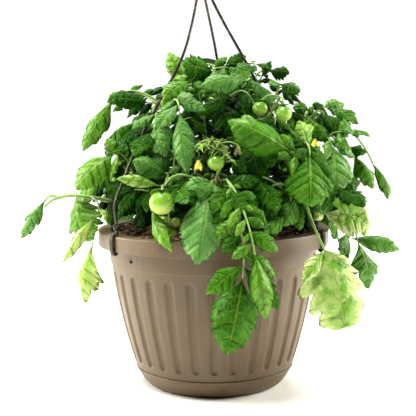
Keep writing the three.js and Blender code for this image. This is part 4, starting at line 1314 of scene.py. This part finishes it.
class Blade(Enum):
    """The kinds of blade on the plant."""

    LARGE = Form(((0, 0.03), (0.04, 0.16), (0.09, 0.62), (0.16, 0.9), (0.27, 1.0), (0.4, 0.98),
                  (0.52, 0.9), (0.64, 0.78), (0.76, 0.6), (0.87, 0.38), (0.95, 0.18), (1, 0.03)),
                 60, 13, lobes=5.2, notch=0.3, saw=0.08, sweep=0.26, relief=0.08)
    LOBED = Form(((0, 0.03), (0.03, 0.2), (0.08, 0.72), (0.18, 1.0), (0.4, 1.0), (0.6, 0.86),
                  (0.8, 0.66), (0.92, 0.5), (0.98, 0.26), (1, 0.05)),
                 60, 13, lobes=3.6, notch=0.5, saw=0.03, sweep=0.22, relief=0.05)
    MIDDLE = Form(((0, 0.04), (0.06, 0.16), (0.13, 0.6), (0.22, 0.9), (0.34, 1.0), (0.48, 0.95),
                   (0.62, 0.8), (0.76, 0.57), (0.88, 0.32), (0.96, 0.13), (1, 0.03)),
                  40, 9, lobes=5.3, notch=0.26, saw=0.05, sweep=0.22, relief=0.07)
    SMALL = Form(((0, 0.05), (0.08, 0.2), (0.16, 0.66), (0.3, 0.96), (0.44, 1.0), (0.6, 0.86),
                  (0.76, 0.6), (0.9, 0.27), (1, 0.03)),
                 18, lobes=3.6, notch=0.2, sweep=0.2, relief=0.07)
    TINY = Form(((0, 0.08), (0.14, 0.3), (0.3, 0.85), (0.46, 1.0), (0.7, 0.66), (0.88, 0.26), (1, 0.05)),
                9, lobes=2.0, notch=0.12, sweep=0.08, relief=0.05)
    SEPAL = Form(((0, 0.5), (0.2, 0.9), (0.4, 1.0), (0.7, 0.55), (1, 0.08)), 8, thick=0.3)
    PETAL = Form(((0, 0.35), (0.3, 0.85), (0.5, 1.0), (0.75, 0.65), (1, 0.06)), 10, relief=0.04, thick=0.2)


@dataclass(frozen=True)
class Pose:
    """How a blade is bent: its bow and fold as in the CAD, the wave of its margins, the twist along it,
    how its sides cup down and the droop of its outer part. cut is how much of its lobes it has."""

    bow: float = 0.12
    fold: float = 12.0
    wave: float = 0.16
    twist: float = 0.0
    cup: float = 0.0
    droop: float = 0.0
    cut: float = 1.0


def blade(kind: Blade, base: Array, tip: Array, face: Array, wide: float, pose: Pose, key: float,
          tint: float, pale: float = 0.0, skin: Skin = Skin.FIRST) -> Patch:
    """A thin closed blade between two points.

    Along it x = L (s + sweep |v|^1.2 share (1 - s)^0.5), a little further at each lobe. Across it
    y = half v. Its height is the bow 4 b L s (1 - s) and the droop d L s s (1 - s), less the fold
    half |v| sin f and the cup, plus puckers between the side veins and a wave that grows to the margin.
    half is half its width, cut by the lobes.

    Args:
        kind: how it is cut.
        base, tip: its ends.
        face: the way its upper face looks.
        wide: its greatest width.
        pose: how it is bent.
        key: picks its own unevenness.
        tint, pale: its colour numbers, tint being partly painted shade; a pale below zero is a painted sheen,
            how minty its upper face is.
        skin: the finish that it wears.

    Returns:
        The surface.
    """
    form, chord = kind.value, tip - base
    long = length(chord)
    ahead = chord / long
    side = np.cross(ahead, face)
    s = np.linspace(0.0, LAST_RING, form.stations)[:, None]
    across = np.linspace(-1, 1, form.across)
    v = np.concatenate([across, across[-2:0:-1]])[None, :]
    top = np.concatenate([np.ones(form.across), -np.ones(form.across - 2)])[None, :]
    a, hand = np.abs(v), (v > 0).astype(float)
    phase, lobe, share = form.cut(s, hand, pose.cut, key)
    half = np.maximum(wide / 2 * share, THINNEST)
    lean = form.sweep * a**1.2 * share * np.sqrt(1 - s) + 0.035 * a**2 * lobe * (form.notch > 0)
    x = long * (s + lean)

    fold, twist = math.radians(pose.fold), np.radians(pose.twist) * (s - 0.3)
    quick, left, right = (chance(key + 0.11 * k) for k in (4, 5, 6))
    pucker = form.relief * half * np.sin(math.pi * np.mod(phase + 0.5, 1.0)) * a * (1 - a) * 4
    ripple = np.sin(2 * math.pi * (s * (1.6 + quick) + lerp(left, right, hand)))
    y = half * v * math.cos(fold)
    z = -half * a * math.sin(fold) + pucker + pose.wave * half * a**2 * ripple - pose.cup * half * a**2
    z = z - VALLEY[0] * half * np.exp(-((v / VALLEY[1]) ** 2))
    rib = np.where(top < 0, RIDGE[0] * np.exp(-((v / RIDGE[1]) ** 2)) * (1 - s), 0.0)
    z = z + top * (form.thick * np.sqrt(np.clip(1 - v * v, 0, 1)) + rib)
    y, z = y * np.cos(twist) - z * np.sin(twist), y * np.sin(twist) + z * np.cos(twist)
    z = z + 4 * pose.bow * long * s * (1 - s) + pose.droop * long * s * s * (1 - s)
    rings = base + x[..., None] * ahead + y[..., None] * side + z[..., None] * face

    uv = np.stack([phase + 0.5 + 0 * v, (v + 1) / 2 + 0 * s], axis=-1)
    # Painted shade: a blade is darker the nearer it lies to the plant's middle. It's also a little brighter
    # to its tip and margins.
    outward = math.hypot(*((base - CROWN_MIDDLE) / CROWN_SIZE))
    inside = INNER_SHADE * min(max(1.0 - outward / OPEN_FROM, 0.0), 1.0)
    shade = np.clip(tint - inside + 0.1 * (s - 0.5) + 0.05 * a, 0, 1)
    return sleeve(rings, base - ahead * 0.3, tip, uv=uv, skin=skin, tint=shade,
                  pale=max(pale, 0.0) * (1 - 0.6 * s * s) + 0 * v,
                  under=np.where(top < 0, 1.0, max(-pale, 0.0)))


def kind_for(wide: float, large: float = math.inf, tiny: float = 0.0) -> Blade:
    """The cut of a leaflet by its width, of which the widest may be large and the slimmest tiny."""
    if wide > 16:
        return Blade.LARGE if wide > large else Blade.MIDDLE
    return Blade.SMALL if wide > tiny else Blade.TINY


def leaflet_tip(rib: Array, t: float, hand: int, near: float, spread: float, drop: float,
                long: float) -> Array:
    """The tip of a side leaflet: from its foot ahead along the rib, out to its side and down.

    Args:
        rib: the rib's points.
        t: its place along the rib.
        hand: which side it's on, -1 or 1.
        near: how far to either side the rib's direction is read.
        spread: its angle from that direction, in degrees.
        drop: how far it hangs, as a share of its length.
        long: its length.

    Returns:
        The point.
    """
    base, angle = along(rib, t), math.radians(spread)
    ahead = unit(along(rib, t + near) - along(rib, t - near))
    out = np.cross(ahead, face_of(base, ahead)) * hand
    return base + (ahead * math.cos(angle) + out * math.sin(angle) - UP * drop) * long


def pair_at(k: int, hand: int) -> float:
    """Where along a rib the CAD has a side leaflet: the two of a pair aren't quite level."""
    return 0.9 - 0.26 * k + 0.06 * hand * (-1 if k % 2 else 1)


# ---------------- the plant
@dataclass(frozen=True)
class Leaf:
    """One compound leaf of the plan."""

    at: float
    end: Array
    tip: Array
    wide: float
    pairs: int
    side: float
    roll: float
    key: float
    tint: float
    pale: float


@dataclass
class Surroundings:
    """What the leaflets that the scene adds keep clear of."""

    balls: list[tuple[Array, float]] = field(default_factory=list)
    lines: list[tuple[Array, float]] = field(default_factory=list)
    basket: Basket = field(default_factory=Basket)
    clear: float = 2.5

    def hits(self, points: Array) -> bool:
        """Whether any of the points lies in the basket, the soil, a fruit, a flower or a wire."""
        basket = self.basket
        r, z = np.hypot(points[:, 0], points[:, 1]), points[:, 2]
        wall = basket.radius(np.clip(z, 21, basket.band)) + self.clear
        outside = np.where(z > basket.band - 2, basket.rim + 1.5, wall)
        filled = np.where(r > SOIL_MOUTH - 2, basket.top + self.clear, mound(r) + 2.0)
        if np.any((z < filled) & (r < outside)):
            return True
        if any(np.any(np.linalg.norm(points - c, axis=1) < size) for c, size in self.balls):
            return True
        return any(np.any(np.linalg.norm(points[:, None] - line[None], axis=2) < size)
                   for line, size in self.lines)


@dataclass
class LeafyStem:
    """A stem with its compound leaves, fruit stalks and calyces: one piece."""

    name: str
    radius: float
    way: Array
    leaves: list[Leaf]
    corners: Array  # the CAD node's own points, in millimetres
    around_it: Surroundings
    patches: list[Patch] = field(default_factory=list)

    def __post_init__(self) -> None:
        """Draws the smooth line of the stem through its way."""
        self.line = smooth_line(self.way, 8)

    def taper(self, line: Array, start: float, end: float, sides: int = 7, tint: float = 0.8) -> None:
        """Adds a green tube along a line, from one radius to another."""
        radius = np.linspace(start, end, len(line))
        self.patches.append(tube(line, radius, sides, skin=Skin.SECOND, tint=tint))

    def settle(self, leaf: Leaf) -> tuple[Array, Array, Array]:
        """Where the CAD bent a leaf to: the first of its tries whose tip is a corner of the CAD node.

        Args:
            leaf: the leaf as planned.

        Returns:
            The leaf's foot, the end of its rib and its tip.
        """
        foot = along(self.way, leaf.at)
        for turn, lift in self.tries():
            end, tip = (foot + spun(p - foot, UP, turn) + lift * UP for p in (leaf.end, leaf.tip))
            if np.min(np.linalg.norm(self.corners - tip, axis=1)) < 0.06:
                return foot, end, tip
        log.warning("%s: leaf %s isn't where the CAD has it", self.name, leaf.key)
        return foot, leaf.end, leaf.tip

    @staticmethod
    def tries() -> Iterator[tuple[float, float]]:
        """The turns, in degrees, and lifts that the CAD tries for a leaf, in its order."""
        for i in range(TRIES):
            turns, lifts = math.ceil(i / 2) * (1 if i % 2 else -1), (i * 3) % 5 - (2 if i else 0)
            yield TURN_STEP * turns, LIFT_STEP * lifts

    def stem(self) -> None:
        """The stem: a tapering tube from its root, a little swollen where each leaf leaves it."""
        root = np.array([self.way[0][0], self.way[0][1], SOIL_EDGE - STEM_DEPTH])
        line = np.vstack([root, lerp(root, self.way[0], 0.5), self.line])
        share = np.concatenate([[0, 0], np.linspace(0, 1, len(self.line))])
        radius = lerp(self.radius * 0.9, self.radius * 0.4, share)
        for leaf in self.leaves:
            radius = radius * (1 + 0.22 * np.exp(-(((share - leaf.at) / 0.03) ** 2)))
        tint = np.broadcast_to(np.clip(share * 1.4, 0, 1)[:, None], (len(line), 12))
        self.patches.append(tube(line, radius, 12, skin=Skin.SECOND, tint=tint))

    def leaf(self, leaf: Leaf) -> None:
        """Adds a compound leaf: its rib, its end leaflet and its side leaflets."""
        foot, end, tip = self.settle(leaf)
        reach = length(end - foot)
        ahead = unit(tip - end)
        rise = lerp(foot, end, 0.25) + UP * 0.28 * reach
        back = end - ahead * 0.3 * reach + UP * 0.05 * reach
        rib = bezier(along(self.line, leaf.at), rise, back, end, np.linspace(0, 1, 22))
        self.taper(rib, 1.4, 0.9, tint=0.7)
        odd = leaf.key
        pose = Pose(bow=0.1 + 0.1 * chance(odd), fold=14 + 22 * chance(odd + 0.5),
                    wave=0.1 + 0.16 * chance(odd + 0.7), twist=50 * (chance(odd + 0.2) - 0.5),
                    cup=0.25 * chance(odd + 0.9), cut=CUTS.get(leaf.key, 0.3 + 0.8 * chance(odd + 0.4)))
        face = to_front(face_of(end, ahead, leaf.roll), ahead, end)
        wide = leaf.wide * FULLNESS * FULLER.get(leaf.key, 1.0)
        kind = Blade.LOBED if leaf.key in LOBED else kind_for(leaf.wide, large=30)
        self.patches.append(blade(kind, end, tip, face, wide, pose, odd, leaf.tint, leaf.pale))
        self.side_leaflets(leaf, (foot, rise, back, end), rib)
        if leaf.key not in BARE:
            self.more_leaflets(leaf, rib, int(reach / 15), length(tip - end))

    def side_leaflets(self, leaf: Leaf, ends: tuple[Array, Array, Array, Array], rib: Array) -> None:
        """Adds the side leaflets that the CAD has, by its own rule, on the finer rib.

        Args:
            leaf: their leaf.
            ends: the corners of the CAD's rib.
            rib: the finer rib.
        """
        cad = np.vstack([ends[0], bezier(*ends, np.array([0.31, 0.62, 0.93]))])
        for k in range(leaf.pairs):
            for hand in (-1, 1):
                odd = leaf.key + 7 * k + 3 * hand
                t = pair_at(k, hand)
                long = leaf.side * (1 - 0.14 * k) * (0.82 + 0.3 * chance(odd + 1))
                spread, drop = 52 + 22 * chance(odd), 0.15 + 0.4 * chance(odd + 2)
                tip = leaflet_tip(cad, t, hand, 0.1, spread, drop, long)
                wide = long * (0.5 + 0.12 * chance(odd + 3))
                self.leaflet(along(rib, t * 0.93), tip, wide, odd, leaf, fold=5 + 24 * chance(odd + 4))

    def leaflet(self, base: Array, tip: Array, wide: float, odd: float, leaf: Leaf, fold: float) -> None:
        """Adds one side leaflet.

        Args:
            base, tip: its ends.
            wide: its width, before it's made fuller.
            odd: picks its own unevenness.
            leaf: the leaf whose colour it takes.
            fold: how far its sides are folded, in degrees.
        """
        pose = Pose(fold=fold, wave=0.1 + 0.15 * chance(odd + 5), twist=60 * (chance(odd + 6) - 0.5),
                    cup=0.2 * chance(odd + 8), cut=0.2 + 0.7 * chance(odd + 9))
        tint = leaf.tint + 0.3 * (chance(odd + 7) - 0.5)
        self.patches.append(blade(kind_for(wide, tiny=7), base, tip, face_of(base, unit(tip - base)),
                                  wide * FULLNESS, pose, odd, tint, leaf.pale))

    def more_leaflets(self, leaf: Leaf, rib: Array, count: int, blade_long: float) -> None:
        """Adds leaflets that fill a rib where the CAD has none: long and short by turns, thinning to the
        stem. One that would run into its surroundings is swung twice, and then left out.

        Args:
            leaf: their leaf.
            rib: its rib.
            count: how many on each side.
            blade_long: how long its end leaflet is.
        """
        taken = [(pair_at(k, hand), hand) for k in range(leaf.pairs) for hand in (-1, 1)]
        size = leaf.side or max(14.0, min(30.0, 0.5 * blade_long))
        for j in range(count):
            for hand in (-1, 1):
                odd = leaf.key + 31 * j + 5 * hand + 0.37
                t = 0.95 - 0.72 * (j + 0.3 + 0.3 * chance(odd)) / count
                if any(abs(t - other) < 0.07 and hand == side for other, side in taken):
                    continue
                long = size * (0.5 if j % 2 else 1.0) * (0.75 + 0.5 * chance(odd + 1)) * (0.65 + 0.35 * t)
                self.try_leaflet(leaf, rib, t, hand, odd, long)

    def try_leaflet(self, leaf: Leaf, rib: Array, t: float, hand: int, odd: float, long: float) -> None:
        """Adds one more leaflet on a rib, if there is room for it.

        Args:
            leaf: the leaf whose colour it takes.
            rib: the rib.
            t: its place along the rib.
            hand: which side of the rib it's on, -1 or 1.
            odd: picks its own unevenness.
            long: its length.
        """
        base, wide = along(rib, t), long * (0.48 + 0.14 * chance(odd + 4))
        for swing in (0.0, -22.0, 18.0):
            spread = 50 + 26 * chance(odd + 2) + swing
            drop = 0.05 + 0.5 * chance(odd + 3) - swing * 0.01
            tip = leaflet_tip(rib, t, hand, 0.06, spread, drop, long)
            width = np.cross(unit(tip - base), UP) * wide * 0.4
            middle = lerp(base, tip, 0.5) + UP * long * 0.1
            felt = [lerp(base, tip, 0.25), middle + width, middle - width, middle, tip]
            if not self.around_it.hits(np.array(felt)):
                self.leaflet(base, tip, wide, odd, leaf, fold=4 + 26 * chance(odd + 5))
                return

    def shoots(self, count: int) -> None:
        """Adds young leaves from the stem between its large ones: each a short arched rib with up to five
        leaflets, spread round the stem by the golden angle."""
        reach = SHOOTS_TO.get(self.name, SHOOTS_ELSE_TO) - SHOOTS_FROM
        for j in range(count):
            odd = 500 + 17.3 * j + len(self.name) * 3.1 + self.radius * self.way[0][0]
            at = SHOOTS_FROM + reach * (j + chance(odd)) / count
            foot = along(self.line, at)
            level = around(137.5 * j + 360 * chance(odd + 1), 1.0, 0.0)
            long = 24 + 26 * chance(odd + 2)
            end = foot + level * long + UP * long * (0.25 + 0.35 * chance(odd + 3))
            tip = end + level * long * 0.75 - UP * long * (0.1 + 0.5 * chance(odd + 4))
            wide = length(tip - end) * 0.72
            felt = np.array([end, lerp(end, tip, 0.5), tip, lerp(foot, end, 0.6)])
            if self.around_it.hits(felt) or tip[0] < LEFTMOST.get(self.name, -math.inf):
                continue
            # The shoots lie within the plant: their low tint is partly painted shade.
            young = Leaf(at, end, tip, wide, pairs=0, side=0.0, roll=40 * (chance(odd + 5) - 0.5), key=odd,
                         tint=0.1 + 0.3 * chance(odd + 6), pale=0.0)
            rib = bezier(foot, lerp(foot, end, 0.3) + UP * 0.2 * long, lerp(foot, end, 0.8) + UP * 0.1 * long,
                         end, np.linspace(0, 1, 10))
            self.taper(rib, 1.1, 0.6, sides=6)
            face = face_of(end, unit(tip - end), young.roll)
            pose = Pose(bow=0.14, fold=10 + 20 * chance(odd + 7), twist=50 * (chance(odd + 8) - 0.5))
            self.patches.append(blade(kind_for(wide), end, tip, face, wide, pose, odd, young.tint))
            for t, share in ((0.84, 1.3), (0.5, 0.9)):
                for hand in (-1, 1):
                    self.try_leaflet(young, rib, t, hand, odd + 40 * t + hand, wide * share)

    def stalk(self, points: Sequence[Array], start: float, end: float) -> None:
        """Adds a slim green stalk through points, from one radius to another."""
        self.taper(even(smooth_line(np.array(points), 8), 16), start, end)

    def calyx(self, crown: Array, reach: float, lift: float, turn: float) -> None:
        """Adds five slim sepals round a crown, their tips curled up.

        Args:
            crown: where they meet.
            reach, lift: how far out and up their tips are.
            turn: the azimuth of the first.
        """
        for k in range(5):
            tip = crown + around(k * 72 + turn, reach, lift + 1.2 * chance(k + reach))
            twist = 30 * (chance(k * 3 + reach) - 0.5)
            pose = Pose(bow=0.1, fold=-14.0, wave=0.0, droop=-0.35, twist=twist)
            self.patches.append(blade(Blade.SEPAL, crown, tip, face_up(tip - crown), reach * 0.42, pose,
                                      k + reach, 0.35))

    def build(self, leaf_skin: Material, stem_skin: Material) -> Object:
        """The stem's piece."""
        self.stem()
        for leaf in self.leaves:
            self.leaf(leaf)
        self.shoots(SHOOTS.get(self.name, SHOOTS_ELSE))
        piece = Piece(f"leafy_stem_{self.name}", "green_leaf", [leaf_skin, stem_skin])
        piece.add(*self.patches)
        return piece.build()


@dataclass
class Tomato:
    """A green tomato that hangs under its calyx: a lobed, flattened ball with a dimple at the stalk."""

    node: str
    middle: Array
    radius: float
    flat: float = 0.94

    def build(self, finish: Material, petal: Material) -> Object:
        """The fruit's piece, with the dried end of its flower below.

        Args:
            finish: what the fruit wears.
            petal: what the dried end wears.

        Returns:
            The piece.
        """
        count, sides = 26, 36
        fall = np.linspace(0, math.pi, count + 2)[1:-1, None]
        turn = circle(sides)[None, :]
        odd = chance(self.radius + self.middle[0])
        r = self.radius * (1 + 0.018 * np.cos(5 * turn + odd * 6) * np.sin(fall) * (1 + np.cos(fall)) / 1.3)
        z = r * self.flat * np.cos(fall) - 0.125 * self.radius * np.exp(-((fall / 0.3) ** 2))
        rings = np.stack([r * np.sin(fall) * np.sin(turn), -r * np.sin(fall) * np.cos(turn), z], -1)
        high = self.middle + UP * (self.radius * (self.flat - 0.127))
        low = self.middle - UP * (self.radius * self.flat)
        young = -0.35 if self.radius < 7 else 0.15 if self.radius < 9 else 0.0
        level = np.clip(np.broadcast_to(0.5 + young + 0.5 * np.cos(fall), (count, sides)), 0, 1)
        piece = Piece(self.node, "green_fruit", [finish, petal])
        piece.add(sleeve(rings + self.middle, high, low, tint=level))
        for k in range(2):
            bend = around(140 * k + 30, 1.3, -0.8)
            line = smooth_line(np.array([low + UP * 0.4, low - UP * 0.6, low + bend]), 4)
            piece.add(tube(line, np.linspace(0.45, 0.2, len(line)), 5, skin=Skin.SECOND, pale=0.95))
        return piece.build()


@dataclass
class Flower:
    """A nodding flower: five petals bent back, and the cone of its anthers below."""

    node: str
    middle: Array
    reach: float = 8.0
    cone: float = 7.0
    swell: tuple[float, ...] = (1.2, 1.9, 2.1, 2.0, 1.8, 1.5, 1.2, 0.8, 0.5)  # radii down the cone

    def build(self, petal: Material) -> Object:
        """The flower's piece."""
        piece = Piece(self.node, "yellow_petal", [petal])
        for k in range(5):
            fall = -11 + 4.0 * chance(k + self.middle[0])
            tip = self.middle + around(k * 72 + 36, self.reach * 0.6, fall)
            pose = Pose(bow=0.1, fold=14.0, wave=0.2, droop=-0.3, twist=40 * (chance(k * 2.7) - 0.5))
            piece.add(blade(Blade.PETAL, self.middle, tip, face_up(tip - self.middle), self.reach * 0.72,
                            pose, k, 0.5, pale=0.06 * (k % 2)))
        line = np.linspace(self.middle + UP * 0.8, self.middle - UP * self.cone, len(self.swell))
        piece.add(tube(line, np.array(self.swell), 12, pale=0.12))
        return piece.build()


@dataclass
class Plant:
    """Every leafy stem with its fruits and flowers."""

    leaf_skin: Material
    stem_skin: Material
    fruit_skin: Material
    petal: Material
    around_it: Surroundings = field(default_factory=Surroundings)

    @staticmethod
    def back_leaves(number: int, turn: float) -> list[Leaf]:
        """The leaves of a back stem, by the CAD's seeded rule.

        Args:
            number: which back stem.
            turn: its azimuth.

        Returns:
            Its leaves.
        """
        leaves = []
        for k, (end_r, end_z, tip_r, tip_z, swing) in enumerate(BACK_LEAVES):
            key = 100 + 10 * number + k
            at = turn + swing * (1 if number % 2 else -1) + 6 * (chance(key) - 0.5)
            end = around(at, end_r * (0.94 + 0.12 * chance(key + 1)), end_z)
            tip = around(at + 10 * (chance(key + 2) - 0.5), tip_r * (0.94 + 0.1 * chance(key + 3)), tip_z)
            leaves.append(Leaf(0.5 + 0.12 * k, end, tip, wide=28 + 9 * chance(key + 4), pairs=(k + 1) % 2,
                               side=34.0, roll=0.0, key=key, tint=0.25 + 0.3 * chance(key + 5), pale=0.0))
        return leaves

    def stems(self) -> dict[str, LeafyStem]:
        """Every stem of the plan, with its leaves."""
        plan = []
        for name, (radius, way) in STEMS.items():
            leaves = [Leaf(at, seen(end), seen(tip), wide, pairs, side, 50 * (chance(key + 0.3) - 0.5), key,
                           tint, pale)
                      for key, (stem, at, end, tip, wide, pairs, side, tint, pale) in enumerate(LEAVES)
                      if stem == name]
            plan.append((name, radius, [seen(p) for p in way], leaves))
        for number, (name, turn) in enumerate(BACK_TURNS.items()):
            way = [around(turn, r, z) for r, z in BACK_WAY]
            plan.append((name, BACK_STEM, way, self.back_leaves(number, turn)))
        return {name: LeafyStem(name, radius, np.array(way), leaves, self.corners(name), self.around_it)
                for name, radius, way, leaves in plan}

    @staticmethod
    def corners(name: str) -> Array:
        """The points of a stem's CAD node, in millimetres."""
        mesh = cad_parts[f"leafy_stem_{name}"].data
        points = np.zeros(len(mesh.vertices) * 3, np.float32)
        mesh.vertices.foreach_get("co", points)
        return points.reshape(-1, 3).astype(float) / MM

    def trusses(self, stems: dict[str, LeafyStem]) -> list[Tomato]:
        """Hangs each truss on its stem, and returns its fruits."""
        fruits = []
        for number, (name, at, end, places) in enumerate(TRUSSES):
            stem, knee = stems[name], seen(end)
            foot = along(stem.line, at)
            bow = lerp(foot, knee, 0.5) + UP * 0.06 * length(knee - foot)
            stem.stalk([foot, bow, knee], 1.6, 1.2)
            if number == 0:
                stem.stalk([foot, *map(seen, TRUSS_WAY)], 2.0, 1.4)
            for k, (centre, r) in enumerate(places):
                fruit = Tomato(f"tomato_{number + 1}_{k + 1}", seen(centre), r)
                crown = fruit.middle + UP * (r * fruit.flat * math.cos(math.pi / 6) + 1.0)
                stem.stalk([knee, lerp(knee, crown, 0.5) + UP * 4, crown], 1.1, 0.9)
                stem.calyx(crown, r * 0.85, r * 0.12, 40.0 * k)
                self.around_it.balls.append((fruit.middle, r + 2.5))
                fruits.append(fruit)
        return fruits

    @staticmethod
    def spent(stem: LeafyStem, foot: Array) -> None:
        """Adds the arched stalk of the front truss with its spent flowers, all thin hairy sepals, and the
        brown ones that hang from its end.

        Args:
            stem: the stem that bears it.
            foot: where it leaves the stem.
        """
        arch = np.array([foot, *map(seen, SPENT_WAY)])
        stem.stalk(arch, 1.7, 1.0)
        for k, crown in enumerate(map(seen, SPENT)):
            knee = lerp(along(arch, 0.5 + 0.06 * k), crown, 0.6) + UP * 2
            stem.stalk([along(arch, 0.4 + 0.07 * k), knee, crown], 0.8, 0.6)
            for j in range(10):
                odd = 900 + 11 * k + j
                lift = 11 * (chance(odd + 2) - 0.6)
                tip = crown + around(j * 36 + 30 * chance(odd), 4 + 4 * chance(odd + 1), lift)
                twist = 60 * (chance(odd + 3) - 0.5)
                pose = Pose(bow=0.15, fold=10.0, wave=0.0, droop=-0.5, twist=twist)
                stem.patches.append(blade(Blade.SEPAL, crown, tip, face_up(tip - crown), 2.1, pose, odd,
                                          0.85, 0.3))
        for k, crown in enumerate(map(seen, WITHERED)):
            stem.stalk([along(arch, 0.9), lerp(arch[-1], crown, 0.5) + UP * 3, crown], 0.8, 0.6)
            for j in range(7):
                tip = crown + around(j * 51.0, 1.5 + 3 * chance(j + k), -7.0 - 4 * chance(j + k + 0.5))
                stem.patches.append(blade(Blade.SEPAL, crown, tip, unit(np.cross(tip - crown, UP)), 2.0,
                                          Pose(fold=8.0), 950 + j + k, 0.0, skin=Skin.SECOND))

    def flowers(self, stems: dict[str, LeafyStem]) -> list[Flower]:
        """Hangs each flower on its stem, and returns them."""
        made = []
        for number, (name, at, knee, centre) in enumerate(FLOWERS):
            stem, flower = stems[name], Flower(f"flower_{number + 1}", seen(centre))
            foot, crown = along(stem.line, at), flower.middle + UP * 1.9
            stem.stalk([foot, seen(knee), crown + UP * 8, crown], 1.15, 0.8)
            stem.calyx(crown, flower.reach * 0.75, 1.0, 0.0)
            if number == 0:
                self.spent(stem, foot)
            self.around_it.balls.append((flower.middle, flower.reach + 1.5))
            made.append(flower)
        return made

    def build(self, hanger: Hanger) -> None:
        """Builds every stem, fruit and flower."""
        for _, turn, points in WIRE_WAYS:
            self.around_it.lines.append((even(hanger.way(turn, points), 60), 3.0))
        stems = self.stems()
        fruits, flowers = self.trusses(stems), self.flowers(stems)
        for stem in stems.values():
            stem.build(self.leaf_skin, self.stem_skin)
        for fruit in fruits:
            fruit.build(self.fruit_skin, self.petal)
        for flower in flowers:
            flower.build(self.petal)


# ---------------- studio
@dataclass
class Studio:
    """The camera at the photograph's angle, a white floor and soft lights."""

    eye: Place = (0.0, -EYE_AWAY * MM, EYE_HEIGHT * MM)
    pitch: float = 5.95
    swing: float = 0.334
    roll: float = -0.5
    lens: float = 78.6
    world: float = 0.04
    white: float = 1.0  # how bright the background looks
    reach: float = 2.2
    warm: Colour = (1.0, 0.97, 0.88)
    lights: tuple[tuple[str, Place, float, float, float], ...] = (  # name, place, height of aim, size, power
        ("top", (-0.4, -0.3, 1.9), 0.25, 0.8, 62.0), ("left", (-1.7, 0.3, 0.8), 0.2, 1.1, 54.0),
        ("right", (1.7, 0.25, 0.8), 0.2, 1.1, 55.0), ("back", (0.1, 1.3, 1.9), 0.2, 1.3, 60.0))

    def camera(self) -> None:
        """A camera that looks along +Y, a little down."""
        data = bpy.data.cameras.new("camera")
        data.lens, data.sensor_width, data.clip_end = self.lens, 36.0, 50.0
        camera = placed("camera", data)
        camera.location = self.eye
        turn = Euler((math.radians(90 - self.pitch), 0, math.radians(self.swing))).to_matrix()
        camera.rotation_euler = (turn @ Matrix.Rotation(math.radians(self.roll), 3, "Z")).to_euler()
        bpy.context.scene.camera = camera

    def floor(self, effects: Effects) -> None:
        """A round white floor, faintly warm and uneven: a disc of 64 corners, whose outer part glows so
        that it runs into the white behind it."""
        turn = circle(64)
        rim = np.stack([np.cos(turn), np.sin(turn), 0 * turn], 1) * self.reach
        mesh = bpy.data.meshes.new("floor")
        mesh.from_pydata(rim.tolist(), [], [tuple(range(64))])
        n = Surface("white_floor", effects)
        away = n.add("ShaderNodeVectorMath", {0: n.at}, operation="LENGTH").outputs["Value"]
        n.fill(n.shader, {
            "Base Color": n.mix(n.noise(n.at, 4.0), (0.93, 0.92, 0.90), (0.97, 0.96, 0.95)),
            "Roughness": 0.6, "Emission Strength": self.white,
            "Emission Color": n.mix(n.fade(away, 0.5, 1.7), (0, 0, 0), (1, 1, 1))})
        mesh.materials.append(n.material)
        floor = placed("floor", mesh)
        floor.location = (0, 0, -0.0002)

    def light(self, name: str, place: Place, height: float, size: float, power: float) -> None:
        """A square soft light that faces the middle of the object.

        Args:
            name: its name.
            place: where it stands.
            height: the height that it aims at.
            size: how wide it is.
            power: how strong it is.
        """
        data = bpy.data.lights.new(name, "AREA")
        data.size, data.energy, data.color = size, power, self.warm
        light = placed(name, data)
        light.location = place
        light.rotation_euler = (Vector((0, 0, height)) - Vector(place)).to_track_quat("-Z", "Y").to_euler()

    def build(self, effects: Effects) -> None:
        """Camera, floor, world and lights."""
        self.camera()
        self.floor(effects)
        world = bpy.data.worlds.new("studio")
        world.use_nodes = True
        world.node_tree.nodes.clear()
        n = Nodes(world.node_tree)
        straight = n.add("ShaderNodeLightPath").outputs["Is Camera Ray"]
        strength = n.fade(straight, 0.0, 1.0, self.world, self.white)
        back = n.add("ShaderNodeBackground", {"Color": (1, 1, 1, 1), "Strength": strength})
        n.add("ShaderNodeOutputWorld", {"Surface": back.outputs[0]})
        bpy.context.scene.world = world
        for light in self.lights:
            self.light(*light)
        bpy.context.scene.view_settings.view_transform = "Standard"
        bpy.context.scene.view_settings.look = "Medium High Contrast"


def main() -> None:
    """Builds the studio and every piece in order, and writes how large the result is."""
    logging.basicConfig(level=logging.INFO)
    effects = Effects()
    Studio().build(effects)
    plastic = BasketPlastic().make(effects)
    wire = CoatedWire().make(effects)
    basket = Basket()
    hanger = Hanger(basket=basket)
    basket.build(plastic)
    Saucer().build(plastic)
    Soil().build(basket, PottingSoil().make(effects))
    for name, turn, points in WIRE_WAYS:
        hanger.build_wire(name, turn, points, wire)
    hanger.build_hook(wire)
    Plant(LeafSkin().make(effects), StemSkin().make(effects), FruitSkin().make(effects),
          Petal().make(effects)).build(hanger)


if __name__ == "__main__":
    main()
